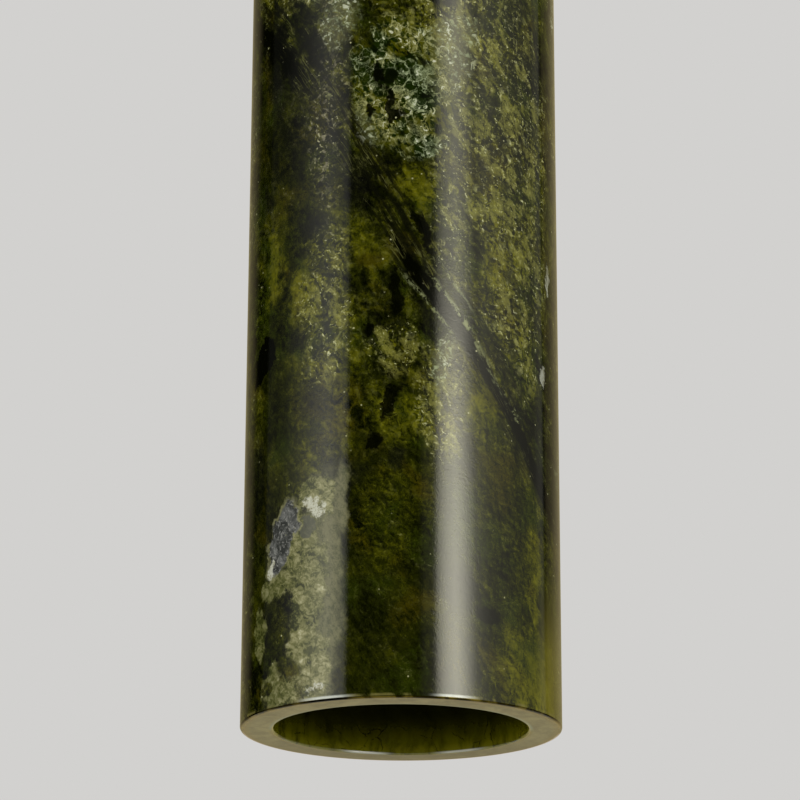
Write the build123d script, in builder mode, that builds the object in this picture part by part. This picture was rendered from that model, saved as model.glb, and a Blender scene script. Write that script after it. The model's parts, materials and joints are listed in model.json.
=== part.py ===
from build123d import *
import os

# Pendant light with a shade turned from one piece of green jade.
# Millimetres. +Z is up, and the origin is the centre of the cord's mouth at the top of the gland.
# The stone hangs by an inward lip at its upper end, clamped between a brass cap and a steel carrier
# plate on one hollow threaded rod. The lampholder hangs on the same rod, inside the stone.

# Jade tube
tube_diameter = 80.0
tube_wall = 8.4
tube_length = 380.0
tube_arris = 0.5  # flat ground on the outer edges
bore_arris = 0.6  # flat ground on the bore's lower edge
lip_width = 11.6  # how far the lip stands into the bore
lip_thickness = 14.0
lip_root_radius = 2.0

# Cord and fits
cord_diameter = 7.0
cord_play = 0.1  # radial, cord in the collet
conduit_play = 0.4  # radial, cord in the nut's mouth and in the rod
thread_play = 0.1  # radial, between mating threads, drawn plain
slip_play = 0.15  # radial, for pieces that slide on the rod
cut_overrun = 1.0  # how far a cutting tool runs past the stock

# Cord gland
collet_wall = 1.2
collet_height = 9.0
collet_cone_height = 3.0
collet_cone_inset = 0.8  # how much the cone narrows in radius
collet_slot_width = 0.8
collet_slot_depth = 5.5
collet_slot_pairs = 3
collet_relief = 0.3  # axial room over the collet's top
gland_neck_wall = 1.1
gland_floor = 1.5
gland_collar_wall = 4.0
gland_flat_depth = 1.0  # spanner flats on the collar
gland_arris = 0.4
gland_nut_height = 10.0
gland_nut_lip = 1.6
gland_nut_wall = 2.4
gland_nut_gap = 1.2  # thread left showing under the nut
gland_nut_chamfer = 0.8
gland_tighten_gap = 0.6
flute_radius = 0.7
flute_depth = 0.45
flute_count = 22

# Hollow rod
rod_wall = 1.1
rod_gland_grip = 7.0  # length screwed into the gland
rod_holder_grip = 8.0  # length screwed into the lampholder
rod_chamfer = 0.4

# Brass cap
cap_thickness = 5.0
cap_setback = 0.5  # how far the cap's edge stands inside the stone's
cap_edge_radius = 1.6
cap_boss_margin = 4.5  # width of the boss outside the gland
cap_boss_height = 3.0
cap_boss_radius = 2.0
spigot_depth = 10.0
spigot_wall = 3.0
spigot_play = 0.4

# Gaskets and carrier
gasket_thickness = 1.5
gasket_inset = 3.0
carrier_thickness = 3.0
carrier_play = 0.5
carrier_chamfer = 0.6

# Washer and nut under the carrier
washer_width = 3.2
washer_thickness = 2.0
washer_slit = 1.6
washer_slit_angle = 30.0
clamp_nut_wall = 3.4
clamp_nut_height = 4.5
clamp_nut_chamfer = 0.7

# Lamp
lamp_diameter = 30.0
lamp_length = 185.0
lamp_cap_diameter = 26.2
lamp_cap_length = 22.0
lamp_cap_wall = 0.5
lamp_cap_brim = 0.8  # rolled edge at the glass end
lamp_contact_diameter = 10.0
lamp_contact_height = 1.2
lamp_insulator_height = 4.0
lamp_insulator_land = 0.6
glass_wall = 1.0
glass_neck_depth = 8.0  # how far the glass reaches up into the cap
glass_neck_play = 0.15
glass_neck_length = 1.5  # plain neck left under the cap
glass_shoulder = 3.2  # height over which the neck widens to the tube

# Lampholder
holder_gap = 2.6  # under the clamp nut
holder_neck_wall = 2.5
holder_neck_height = 9.0
holder_cap_wall = 1.4
holder_skirt = 12.0
holder_overlap = 8.0
holder_joint_gap = 0.4
holder_edge_radius = 0.5
shell_wall = 1.3
shell_ledge = 1.2
shell_drop = 28.0  # from the ledge to the mouth
mouth_play = 1.0
grub_diameter = 3.0
grub_socket = 1.5
grub_socket_depth = 1.2
grub_relief = 0.05

# Contact block, terminals and liner
block_play = 0.2
block_height = 12.0
block_chamfer = 0.8
terminal_count = 2
terminal_orbit = 10.2
terminal_width = 5.0
terminal_length = 6.5
terminal_height = 5.5
terminal_pocket = 1.0
terminal_play = 0.15
terminal_wire_hole = 2.4
terminal_screw_diameter = 2.6
terminal_head_diameter = 4.4
terminal_head_height = 1.6
driver_slot_width = 0.7
driver_slot_depth = 0.8
liner_thickness = 0.6
liner_depth = 22.0
liner_play = 0.4
liner_mouth = 14.0
liner_screw_orbit = 10.4
liner_screw_diameter = 2.5
liner_head_diameter = 4.2
liner_head_height = 1.2
liner_screw_length = 7.0
contact_thickness = 0.5
contact_width = 5.0
contact_foot = 3.5
contact_drop = 4.5
contact_reach = 4.5
contact_tail = 2.0
contact_play = 0.3
rivet_diameter = 2.2
rivet_head_diameter = 3.2
rivet_head_height = 0.7

# Earth screw on the carrier
earth_inset = 7.1  # from the carrier's edge
earth_angle = 45.0
earth_screw_diameter = 4.0
earth_head_diameter = 7.5
earth_head_height = 2.4
earth_head_radius = 0.8
earth_driver_width = 1.0
earth_driver_depth = 1.2
earth_washer_diameter = 9.0
earth_washer_thickness = 0.8
earth_tip_gap = 0.4  # between the screw's end and the gasket

# Radii that follow from what fits in what
cord_radius = cord_diameter / 2
conduit_radius = cord_radius + conduit_play
collet_bore_radius = cord_radius + cord_play
collet_radius = collet_bore_radius + collet_wall
collet_tip_radius = collet_radius - collet_cone_inset
collet_pocket_radius = collet_radius + slip_play
gland_neck_radius = collet_pocket_radius + gland_neck_wall
gland_nut_bore_radius = gland_neck_radius + thread_play
gland_nut_radius = gland_nut_bore_radius + gland_nut_wall
rod_radius = conduit_radius + rod_wall
rod_thread_radius = rod_radius + thread_play
rod_slip_radius = rod_radius + slip_play
gland_collar_radius = rod_thread_radius + gland_collar_wall
tube_radius = tube_diameter / 2
tube_bore_radius = tube_radius - tube_wall
lip_bore_radius = tube_bore_radius - lip_width
cap_radius = tube_radius - cap_setback
cap_boss_outer_radius = gland_collar_radius + cap_boss_margin
spigot_radius = lip_bore_radius - spigot_play
carrier_radius = tube_bore_radius - lip_root_radius - carrier_play
earth_orbit = carrier_radius - earth_inset
washer_radius = rod_slip_radius + washer_width
lamp_radius = lamp_diameter / 2
lamp_cap_radius = lamp_cap_diameter / 2
liner_inner_radius = lamp_cap_radius + liner_play
liner_radius = liner_inner_radius + liner_thickness
mouth_radius = max(lamp_radius, liner_radius) + mouth_play
block_seat_radius = mouth_radius + shell_ledge
block_radius = block_seat_radius - block_play
shell_neck_radius = block_seat_radius + shell_wall
holder_inner_radius = shell_neck_radius + thread_play
holder_radius = holder_inner_radius + holder_cap_wall
holder_neck_radius = rod_thread_radius + holder_neck_wall
dome_radius = holder_radius - holder_neck_radius

# Heights, from the cord's mouth downwards
collet_top = -gland_nut_lip - collet_relief
collet_bottom = collet_top - collet_height
rod_top = collet_bottom - gland_floor
gland_bottom = rod_top - rod_gland_grip
gland_neck_top = -gland_nut_lip - collet_cone_height - gland_tighten_gap
gland_collar_top = -gland_nut_height - gland_nut_gap
cap_face = gland_bottom - cap_boss_height
cap_seat = cap_face - cap_thickness
tube_top = cap_seat - gasket_thickness
tube_bottom = tube_top - tube_length
lip_bottom = tube_top - lip_thickness
carrier_top = lip_bottom - gasket_thickness
carrier_bottom = carrier_top - carrier_thickness
washer_bottom = carrier_bottom - washer_thickness
clamp_nut_bottom = washer_bottom - clamp_nut_height
holder_top = clamp_nut_bottom - holder_gap
rod_bottom = holder_top - rod_holder_grip
dome_top = holder_top - holder_neck_height
dome_bottom = dome_top - dome_radius
skirt_bottom = dome_bottom - holder_skirt
shell_top = skirt_bottom + holder_overlap
block_bottom = shell_top - block_height
shell_bottom = block_bottom - shell_drop
liner_bottom = block_bottom - liner_thickness - liner_depth
lamp_top = block_bottom - contact_drop - contact_thickness - contact_play
insulator_top = lamp_top - lamp_contact_height
lamp_cap_top = insulator_top - lamp_insulator_height
lamp_cap_bottom = lamp_cap_top - lamp_cap_length
lamp_bottom = lamp_top - lamp_length
lamp_tip_centre = lamp_bottom + lamp_radius


# The stone: bored from below, with a lip left at the top
with BuildPart() as jade_tube:
    with BuildSketch(Plane.XZ):
        with BuildLine():
            Polyline(
                (tube_bore_radius, tube_bottom),
                (tube_radius, tube_bottom),
                (tube_radius, tube_top),
                (lip_bore_radius, tube_top),
                (lip_bore_radius, lip_bottom),
                (tube_bore_radius, lip_bottom),
                close=True,
            )
        make_face()
    revolve(axis=Axis.Z)
    rims = jade_tube.edges().filter_by(GeomType.CIRCLE)
    chamfer(rims.group_by(Axis.Z)[-1], length=tube_arris)
    chamfer(rims.group_by(Axis.Z)[0].sort_by(SortBy.RADIUS)[-1], length=tube_arris)
    chamfer(rims.group_by(Axis.Z)[0].sort_by(SortBy.RADIUS)[0], length=bore_arris)
    fillet(rims.group_by(Axis.Z)[1].sort_by(SortBy.RADIUS)[-1], radius=lip_root_radius)
jade_tube.part.label = "jade_tube"

# Turned brass cap with a boss under the gland and a hollow spigot in the stone's lip
with BuildPart() as top_cap:
    with BuildSketch(Plane.XZ):
        with BuildLine():
            Polyline(
                (rod_slip_radius, gland_bottom),
                (cap_boss_outer_radius, gland_bottom),
                (cap_boss_outer_radius, cap_face),
                (cap_radius, cap_face),
                (cap_radius, cap_seat),
                (spigot_radius, cap_seat),
                (spigot_radius, cap_seat - spigot_depth),
                (spigot_radius - spigot_wall, cap_seat - spigot_depth),
                (spigot_radius - spigot_wall, cap_seat),
                (rod_slip_radius, cap_seat),
                close=True,
            )
        make_face()
    revolve(axis=Axis.Z)
    turned = top_cap.edges().filter_by(GeomType.CIRCLE)
    face_edges = turned.group_by(Axis.Z)[-2].sort_by(SortBy.RADIUS)
    boss_edge = turned.group_by(Axis.Z)[-1].sort_by(SortBy.RADIUS)[-1]
    fillet(face_edges[-1], radius=cap_edge_radius)
    fillet(face_edges[0], radius=cap_boss_radius)
    chamfer(boss_edge, length=gland_arris)
top_cap.part.label = "top_cap"

# Soft ring between the cap and the stone
with BuildPart() as cap_gasket:
    with BuildSketch(Plane.XY.offset(tube_top)):
        Circle(tube_radius - gasket_inset)
        Circle(lip_bore_radius, mode=Mode.SUBTRACT)
    extrude(amount=gasket_thickness)
cap_gasket.part.label = "cap_gasket"

# Soft ring between the stone's lip and the carrier
with BuildPart() as carrier_gasket:
    with BuildSketch(Plane.XY.offset(carrier_top)):
        Circle(carrier_radius)
        Circle(lip_bore_radius, mode=Mode.SUBTRACT)
    extrude(amount=gasket_thickness)
carrier_gasket.part.label = "carrier_gasket"

# Steel disc that carries the stone, with a threaded hole for the earth screw
with BuildPart() as carrier_plate:
    with BuildSketch(Plane.XY.offset(carrier_bottom)):
        Circle(carrier_radius)
        Circle(rod_slip_radius, mode=Mode.SUBTRACT)
        with PolarLocations(earth_orbit, 1, start_angle=earth_angle):
            Circle(earth_screw_diameter / 2 + thread_play, mode=Mode.SUBTRACT)
    extrude(amount=carrier_thickness)
    chamfer(
        carrier_plate.edges().group_by(Axis.Z)[0].sort_by(SortBy.RADIUS)[-1],
        length=carrier_chamfer,
    )
carrier_plate.part.label = "carrier_plate"

# Earth screw and its washer, on the underside of the carrier
earth_head_top = carrier_bottom - earth_washer_thickness
with BuildPart() as earth_washer:
    with BuildSketch(Plane.XY.offset(carrier_bottom)):
        with PolarLocations(earth_orbit, 1, start_angle=earth_angle):
            Circle(earth_washer_diameter / 2)
            Circle(earth_screw_diameter / 2 + thread_play, mode=Mode.SUBTRACT)
    extrude(amount=-earth_washer_thickness)
earth_washer.part.label = "earth_washer"

with BuildPart() as earth_screw:
    with BuildSketch(Plane.XY.offset(earth_head_top)):
        with PolarLocations(earth_orbit, 1, start_angle=earth_angle):
            Circle(earth_head_diameter / 2)
    extrude(amount=-earth_head_height)
    fillet(earth_screw.edges().group_by(Axis.Z)[0], radius=earth_head_radius)
    with BuildSketch(Plane.XY.offset(earth_head_top)):
        with PolarLocations(earth_orbit, 1, start_angle=earth_angle):
            Circle(earth_screw_diameter / 2)
    extrude(amount=carrier_top - earth_tip_gap - earth_head_top)
    with BuildSketch(Plane.XY.offset(earth_head_top - earth_head_height)):
        with PolarLocations(earth_orbit, 1, start_angle=earth_angle):
            Rectangle(earth_head_diameter + cut_overrun, earth_driver_width)
    extrude(amount=earth_driver_depth, mode=Mode.SUBTRACT)
earth_screw.part.label = "earth_screw"

# Spring washer, flattened by the nut, with its slanting slit
with BuildPart() as spring_washer:
    with BuildSketch(Plane.XY.offset(washer_bottom)):
        Circle(washer_radius)
        Circle(rod_slip_radius, mode=Mode.SUBTRACT)
    extrude(amount=washer_thickness)
    slit_middle = (
        rod_slip_radius + washer_width / 2,
        0,
        washer_bottom + washer_thickness / 2,
    )
    with Locations(Location(slit_middle, (washer_slit_angle, 0, 0))):
        Box(
            washer_width + 2 * cut_overrun,
            washer_slit,
            2 * washer_thickness + 2 * cut_overrun,
            mode=Mode.SUBTRACT,
        )
spring_washer.part.label = "spring_washer"

# Thin hexagon nut, its corners turned away on both faces
with BuildPart() as clamp_nut:
    with BuildSketch(Plane.XY.offset(clamp_nut_bottom)):
        RegularPolygon(rod_thread_radius + clamp_nut_wall, 6, major_radius=False)
        Circle(rod_thread_radius, mode=Mode.SUBTRACT)
    extrude(amount=clamp_nut_height)
    flats_radius = rod_thread_radius + clamp_nut_wall
    with BuildSketch(Plane.XZ):
        with BuildLine():
            Polyline(
                (0, clamp_nut_bottom),
                (flats_radius, clamp_nut_bottom),
                (flats_radius + 2 * clamp_nut_chamfer, clamp_nut_bottom + clamp_nut_chamfer),
                (flats_radius + 2 * clamp_nut_chamfer, washer_bottom - clamp_nut_chamfer),
                (flats_radius, washer_bottom),
                (0, washer_bottom),
                close=True,
            )
        make_face()
    revolve(axis=Axis.Z, mode=Mode.INTERSECT)
clamp_nut.part.label = "clamp_nut"

# Hollow rod from the gland to the lampholder
with BuildPart() as hollow_rod:
    with BuildSketch(Plane.XY.offset(rod_bottom)):
        Circle(rod_radius)
        Circle(conduit_radius, mode=Mode.SUBTRACT)
    extrude(amount=rod_top - rod_bottom)
    chamfer(
        hollow_rod.edges().filter_by(GeomType.CIRCLE).sort_by(SortBy.RADIUS)[-2:],
        length=rod_chamfer,
    )
hollow_rod.part.label = "hollow_rod"

# Gland body: collar with two flats, neck for the nut, pocket for the collet
with BuildPart() as gland_body:
    with BuildSketch(Plane.XZ):
        with BuildLine():
            Polyline(
                (collet_pocket_radius, gland_neck_top),
                (gland_neck_radius, gland_neck_top),
                (gland_neck_radius, gland_collar_top),
                (gland_collar_radius, gland_collar_top),
                (gland_collar_radius, gland_bottom),
                (rod_thread_radius, gland_bottom),
                (rod_thread_radius, rod_top),
                (conduit_radius, rod_top),
                (conduit_radius, collet_bottom),
                (collet_pocket_radius, collet_bottom),
                close=True,
            )
        make_face()
    revolve(axis=Axis.Z)
    collar_edges = gland_body.edges().filter_by(GeomType.CIRCLE).sort_by(SortBy.RADIUS)
    chamfer(collar_edges[-2:], length=gland_arris)
    flat_face_radius = gland_collar_radius - gland_flat_depth
    flat_size = gland_collar_radius + cut_overrun
    with BuildSketch(Plane.XY.offset(gland_collar_top)):
        with PolarLocations(flat_face_radius + flat_size / 2, 2):
            Rectangle(flat_size, 2 * flat_size)
    extrude(amount=gland_bottom - gland_collar_top, mode=Mode.SUBTRACT)
gland_body.part.label = "gland_body"

# Split collet: its cone closes on the cord when the nut is turned down
with BuildPart() as gland_collet:
    with BuildSketch(Plane.XZ):
        with BuildLine():
            Polyline(
                (collet_bore_radius, collet_bottom),
                (collet_radius, collet_bottom),
                (collet_radius, collet_top - collet_cone_height),
                (collet_tip_radius, collet_top),
                (collet_bore_radius, collet_top),
                close=True,
            )
        make_face()
    revolve(axis=Axis.Z)
    with BuildSketch(Plane.XY.offset(collet_top - collet_slot_depth)):
        for pair in range(collet_slot_pairs):
            Rectangle(
                2 * (collet_radius + cut_overrun),
                collet_slot_width,
                rotation=pair * 180 / collet_slot_pairs,
            )
    extrude(amount=collet_slot_depth + cut_overrun, mode=Mode.SUBTRACT)
gland_collet.part.label = "gland_collet"

# Fluted nut with the collet's cone turned inside it
with BuildPart() as gland_nut:
    with BuildSketch(Plane.XZ):
        with BuildLine():
            Polyline(
                (conduit_radius, 0),
                (gland_nut_radius, 0),
                (gland_nut_radius, -gland_nut_height),
                (gland_nut_bore_radius, -gland_nut_height),
                (gland_nut_bore_radius, -gland_nut_lip - collet_cone_height),
                (collet_radius, -gland_nut_lip - collet_cone_height),
                (collet_tip_radius, -gland_nut_lip),
                (conduit_radius, -gland_nut_lip),
                close=True,
            )
        make_face()
    revolve(axis=Axis.Z)
    nut_edges = gland_nut.edges().filter_by(GeomType.CIRCLE).sort_by(SortBy.RADIUS)
    chamfer(nut_edges[-2:], length=gland_nut_chamfer)
    with BuildSketch(Plane.XY.offset(cut_overrun)):
        with PolarLocations(gland_nut_radius + flute_radius - flute_depth, flute_count):
            Circle(flute_radius)
    extrude(amount=-gland_nut_height - 2 * cut_overrun, mode=Mode.SUBTRACT)
gland_nut.part.label = "gland_nut"

# Upper half of the lampholder: threaded neck, dome and skirt
grub_height = holder_top - rod_holder_grip / 2
grub_bore_radius = grub_diameter / 2 + thread_play
with BuildPart() as holder_cap:
    with BuildSketch(Plane.XZ):
        with BuildLine():
            Polyline(
                (holder_neck_radius, dome_top - holder_cap_wall),
                (rod_thread_radius, dome_top - holder_cap_wall),
                (rod_thread_radius, holder_top),
                (holder_neck_radius, holder_top),
                (holder_neck_radius, dome_top),
            )
            CenterArc((holder_neck_radius, dome_bottom), dome_radius, 0, 90)
            Polyline(
                (holder_radius, dome_bottom),
                (holder_radius, skirt_bottom),
                (holder_inner_radius, skirt_bottom),
                (holder_inner_radius, dome_bottom),
            )
            CenterArc((holder_neck_radius, dome_bottom), dome_radius - holder_cap_wall, 0, 90)
        make_face()
    revolve(axis=Axis.Z)
    with BuildSketch(Plane.YZ):
        with Locations((0, grub_height)):
            Circle(grub_bore_radius)
    extrude(amount=holder_neck_radius + cut_overrun, mode=Mode.SUBTRACT)
holder_cap.part.label = "holder_cap"

# Grub screw that locks the lampholder on the rod
with BuildPart() as holder_grub_screw:
    with BuildSketch(Plane.YZ.offset(rod_radius + grub_relief)):
        with Locations((0, grub_height)):
            Circle(grub_diameter / 2)
    extrude(amount=holder_neck_radius - rod_radius - grub_relief)
    with BuildSketch(Plane.YZ.offset(holder_neck_radius)):
        with Locations((0, grub_height)):
            RegularPolygon(grub_socket / 2, 6, major_radius=False)
    extrude(amount=-grub_socket_depth, mode=Mode.SUBTRACT)
holder_grub_screw.part.label = "holder_grub_screw"

# Lower half of the lampholder, screwed into the upper half, with a ledge for the contact block
with BuildPart() as holder_shell:
    with BuildSketch(Plane.XZ):
        with BuildLine():
            Polyline(
                (block_seat_radius, shell_top),
                (shell_neck_radius, shell_top),
                (shell_neck_radius, skirt_bottom - holder_joint_gap),
                (holder_radius, skirt_bottom - holder_joint_gap),
                (holder_radius, shell_bottom),
                (mouth_radius, shell_bottom),
                (mouth_radius, block_bottom),
                (block_seat_radius, block_bottom),
                close=True,
            )
        make_face()
    revolve(axis=Axis.Z)
    fillet(holder_shell.edges().group_by(Axis.Z)[0], radius=holder_edge_radius)
holder_shell.part.label = "holder_shell"

# Ceramic block with two pockets for the terminals, and holes for the liner's screws and the rivet
with BuildPart() as contact_block:
    with BuildSketch(Plane.XY.offset(block_bottom)):
        Circle(block_radius)
        with Locations((-contact_reach, 0)):
            Circle(rivet_diameter / 2 + thread_play, mode=Mode.SUBTRACT)
        with PolarLocations(liner_screw_orbit, 2, start_angle=90):
            Circle(liner_screw_diameter / 2 + thread_play, mode=Mode.SUBTRACT)
    extrude(amount=block_height)
    chamfer(
        contact_block.edges().group_by(Axis.Z)[-1].sort_by(SortBy.RADIUS)[-1],
        length=block_chamfer,
    )
    with BuildSketch(Plane.XY.offset(shell_top)):
        with PolarLocations(terminal_orbit, terminal_count):
            Rectangle(terminal_width + 2 * terminal_play, terminal_length + 2 * terminal_play)
    extrude(amount=-terminal_pocket, mode=Mode.SUBTRACT)
contact_block.part.label = "contact_block"

# Two brass wire clamps, each with a cross hole for the wire and a hole for its screw
terminal_base = shell_top - terminal_pocket
with BuildPart() as terminal_clamps:
    with BuildSketch(Plane.XY.offset(terminal_base)):
        with PolarLocations(terminal_orbit, terminal_count):
            Rectangle(terminal_width, terminal_length)
            Circle(terminal_screw_diameter / 2 + thread_play, mode=Mode.SUBTRACT)
    extrude(amount=terminal_height)
    with PolarLocations(terminal_orbit, terminal_count):
        with Locations(
            Location((0, 0, terminal_base + terminal_height / 2), (0, 90, 0))
        ):
            Cylinder(
                terminal_wire_hole / 2,
                terminal_width + 2 * cut_overrun,
                mode=Mode.SUBTRACT,
            )
terminal_clamps.part.label = "terminal_clamps"

# Slotted screws of the wire clamps
terminal_crown = terminal_base + terminal_height
with BuildPart() as terminal_screws:
    with BuildSketch(Plane.XY.offset(terminal_base + terminal_height / 2)):
        with PolarLocations(terminal_orbit, terminal_count):
            Circle(terminal_screw_diameter / 2)
    extrude(amount=terminal_height / 2)
    with BuildSketch(Plane.XY.offset(terminal_crown)):
        with PolarLocations(terminal_orbit, terminal_count):
            Circle(terminal_head_diameter / 2)
    extrude(amount=terminal_head_height)
    with BuildSketch(Plane.XY.offset(terminal_crown + terminal_head_height)):
        with PolarLocations(terminal_orbit, terminal_count):
            Rectangle(terminal_head_diameter + cut_overrun, driver_slot_width)
    extrude(amount=-driver_slot_depth, mode=Mode.SUBTRACT)
terminal_screws.part.label = "terminal_screws"

# Threaded liner that the lamp screws into, drawn plain
with BuildPart() as screw_shell:
    with BuildSketch(Plane.XZ):
        with BuildLine():
            Polyline(
                (liner_mouth / 2, block_bottom),
                (liner_radius, block_bottom),
                (liner_radius, liner_bottom),
                (liner_inner_radius, liner_bottom),
                (liner_inner_radius, block_bottom - liner_thickness),
                (liner_mouth / 2, block_bottom - liner_thickness),
                close=True,
            )
        make_face()
    revolve(axis=Axis.Z)
    with BuildSketch(Plane.XY.offset(block_bottom)):
        with PolarLocations(liner_screw_orbit, 2, start_angle=90):
            Circle(liner_screw_diameter / 2 + thread_play)
    extrude(amount=-liner_thickness, mode=Mode.SUBTRACT)
screw_shell.part.label = "screw_shell"

# Two screws from inside the liner up into the block
liner_head_top = block_bottom - liner_thickness
with BuildPart() as liner_screws:
    with BuildSketch(Plane.XY.offset(liner_head_top)):
        with PolarLocations(liner_screw_orbit, 2, start_angle=90):
            Circle(liner_screw_diameter / 2)
    extrude(amount=liner_screw_length)
    with BuildSketch(Plane.XY.offset(liner_head_top)):
        with PolarLocations(liner_screw_orbit, 2, start_angle=90):
            Circle(liner_head_diameter / 2)
    extrude(amount=-liner_head_height)
    with BuildSketch(Plane.XY.offset(liner_head_top - liner_head_height)):
        with PolarLocations(liner_screw_orbit, 2, start_angle=90):
            Rectangle(driver_slot_width, liner_head_diameter + cut_overrun)
    extrude(amount=driver_slot_depth, mode=Mode.SUBTRACT)
liner_screws.part.label = "liner_screws"

# Sprung tongue: a foot on the block, a slope down to the lamp, and a level tip
with BuildPart() as centre_contact:
    with BuildSketch(Plane.XZ):
        with BuildLine():
            tongue = Polyline(
                (-contact_reach - contact_foot / 2, block_bottom),
                (-contact_reach + contact_foot / 2, block_bottom),
                (contact_reach - contact_tail, block_bottom - contact_drop),
                (contact_reach, block_bottom - contact_drop),
            )
            offset(tongue, amount=contact_thickness, side=Side.RIGHT)
        make_face()
    extrude(amount=contact_width / 2, both=True)
    with BuildSketch(Plane.XY.offset(block_bottom)):
        with Locations((-contact_reach, 0)):
            Circle(rivet_diameter / 2 + thread_play)
    extrude(amount=-contact_thickness, mode=Mode.SUBTRACT)
centre_contact.part.label = "centre_contact"

# Rivet through the tongue's foot and the block
rivet_foot = block_bottom - contact_thickness
with BuildPart() as contact_rivet:
    with BuildSketch(Plane.XY.offset(rivet_foot)):
        with Locations((-contact_reach, 0)):
            Circle(rivet_diameter / 2)
    extrude(amount=shell_top - rivet_foot)
    for seat, head_height in ((rivet_foot, -rivet_head_height), (shell_top, rivet_head_height)):
        with BuildSketch(Plane.XY.offset(seat)):
            with Locations((-contact_reach, 0)):
                Circle(rivet_head_diameter / 2)
        extrude(amount=head_height)
    fillet(contact_rivet.edges().group_by(Axis.Z)[0], radius=rivet_head_height / 2)
    fillet(contact_rivet.edges().group_by(Axis.Z)[-1], radius=rivet_head_height / 2)
contact_rivet.part.label = "contact_rivet"

# Lamp: end contact, insulating cone, screw cap and glass
with BuildPart() as lamp_contact:
    with BuildSketch(Plane.XY.offset(insulator_top)):
        Circle(lamp_contact_diameter / 2)
    extrude(amount=lamp_contact_height)
    fillet(lamp_contact.edges().group_by(Axis.Z)[-1], radius=lamp_contact_height / 2)
lamp_contact.part.label = "lamp_contact"

with BuildPart() as lamp_insulator:
    insulator_base_radius = lamp_cap_radius - lamp_cap_wall
    with BuildSketch(Plane.XZ):
        with BuildLine():
            Polyline(
                (0, insulator_top),
                (lamp_contact_diameter / 2 + lamp_insulator_land, insulator_top),
                (insulator_base_radius, lamp_cap_top + lamp_insulator_land),
                (insulator_base_radius, lamp_cap_top),
                (0, lamp_cap_top),
                close=True,
            )
        make_face()
    revolve(axis=Axis.Z)
lamp_insulator.part.label = "lamp_insulator"

with BuildPart() as lamp_cap:
    with BuildSketch(Plane.XZ):
        with BuildLine():
            Polyline(
                (lamp_cap_radius - 2 * lamp_cap_wall, lamp_cap_top),
                (lamp_cap_radius, lamp_cap_top),
                (lamp_cap_radius, lamp_cap_bottom + lamp_cap_brim),
                (lamp_cap_radius + lamp_cap_brim, lamp_cap_bottom),
                (lamp_cap_radius - lamp_cap_wall, lamp_cap_bottom),
                (lamp_cap_radius - lamp_cap_wall, lamp_cap_top - lamp_cap_wall),
                (lamp_cap_radius - 2 * lamp_cap_wall, lamp_cap_top - lamp_cap_wall),
                close=True,
            )
        make_face()
    revolve(axis=Axis.Z)
lamp_cap.part.label = "lamp_cap"

glass_neck_radius = lamp_cap_radius - lamp_cap_wall - glass_neck_play
glass_neck_top = lamp_cap_bottom + glass_neck_depth
glass_neck_bottom = lamp_cap_bottom - glass_neck_length
shoulder_bottom = glass_neck_bottom - glass_shoulder
with BuildPart() as lamp_envelope:
    with BuildSketch(Plane.XZ):
        with BuildLine():
            Polyline(
                (0, lamp_bottom + glass_wall),
                (0, lamp_bottom),
            )
            CenterArc((0, lamp_tip_centre), lamp_radius, -90, 90)
            Polyline(
                (lamp_radius, lamp_tip_centre),
                (lamp_radius, shoulder_bottom),
                (glass_neck_radius, glass_neck_bottom),
                (glass_neck_radius, glass_neck_top),
                (glass_neck_radius - glass_wall, glass_neck_top),
                (glass_neck_radius - glass_wall, glass_neck_bottom),
                (lamp_radius - glass_wall, shoulder_bottom),
                (lamp_radius - glass_wall, lamp_tip_centre),
            )
            CenterArc((0, lamp_tip_centre), lamp_radius - glass_wall, -90, 90)
        make_face()
    revolve(axis=Axis.Z)
lamp_envelope.part.label = "lamp_envelope"

pieces = [
    jade_tube,
    top_cap,
    cap_gasket,
    carrier_gasket,
    carrier_plate,
    earth_washer,
    earth_screw,
    spring_washer,
    clamp_nut,
    hollow_rod,
    gland_body,
    gland_collet,
    gland_nut,
    holder_cap,
    holder_grub_screw,
    holder_shell,
    contact_block,
    terminal_clamps,
    terminal_screws,
    screw_shell,
    liner_screws,
    centre_contact,
    contact_rivet,
    lamp_contact,
    lamp_insulator,
    lamp_cap,
    lamp_envelope,
]
os.makedirs("parts", exist_ok=True)
for piece in pieces:
    export_step(piece.part, f"parts/{piece.part.label}.step")
    box = piece.part.bounding_box()
    print(f"{piece.part.label}: z {box.min.Z:.2f} to {box.max.Z:.2f}, across {box.size.X:.2f}")
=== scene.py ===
# Pendant light: a polished green jade tube on a brass cap and cord gland, with a lampholder and lamp inside.
import json
import math

import bmesh
import bpy
from mathutils import Matrix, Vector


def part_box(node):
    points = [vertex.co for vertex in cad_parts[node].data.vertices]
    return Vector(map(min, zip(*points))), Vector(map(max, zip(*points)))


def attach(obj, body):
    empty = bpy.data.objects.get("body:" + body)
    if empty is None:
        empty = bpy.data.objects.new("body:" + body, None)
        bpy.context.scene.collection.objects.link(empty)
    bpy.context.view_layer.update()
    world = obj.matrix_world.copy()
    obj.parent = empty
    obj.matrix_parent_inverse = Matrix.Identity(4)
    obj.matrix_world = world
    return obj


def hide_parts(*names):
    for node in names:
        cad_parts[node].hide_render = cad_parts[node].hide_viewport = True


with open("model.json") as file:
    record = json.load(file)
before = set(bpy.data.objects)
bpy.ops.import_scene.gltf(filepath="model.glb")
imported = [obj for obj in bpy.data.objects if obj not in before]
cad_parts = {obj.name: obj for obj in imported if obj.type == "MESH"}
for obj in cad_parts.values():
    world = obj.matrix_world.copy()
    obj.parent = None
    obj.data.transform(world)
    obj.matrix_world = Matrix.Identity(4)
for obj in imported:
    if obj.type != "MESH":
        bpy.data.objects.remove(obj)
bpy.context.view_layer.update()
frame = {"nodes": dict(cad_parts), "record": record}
nodes = frame["nodes"]
millimetre = 0.001
scene = bpy.context.scene
scene.view_settings.view_transform = "Standard"
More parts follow.
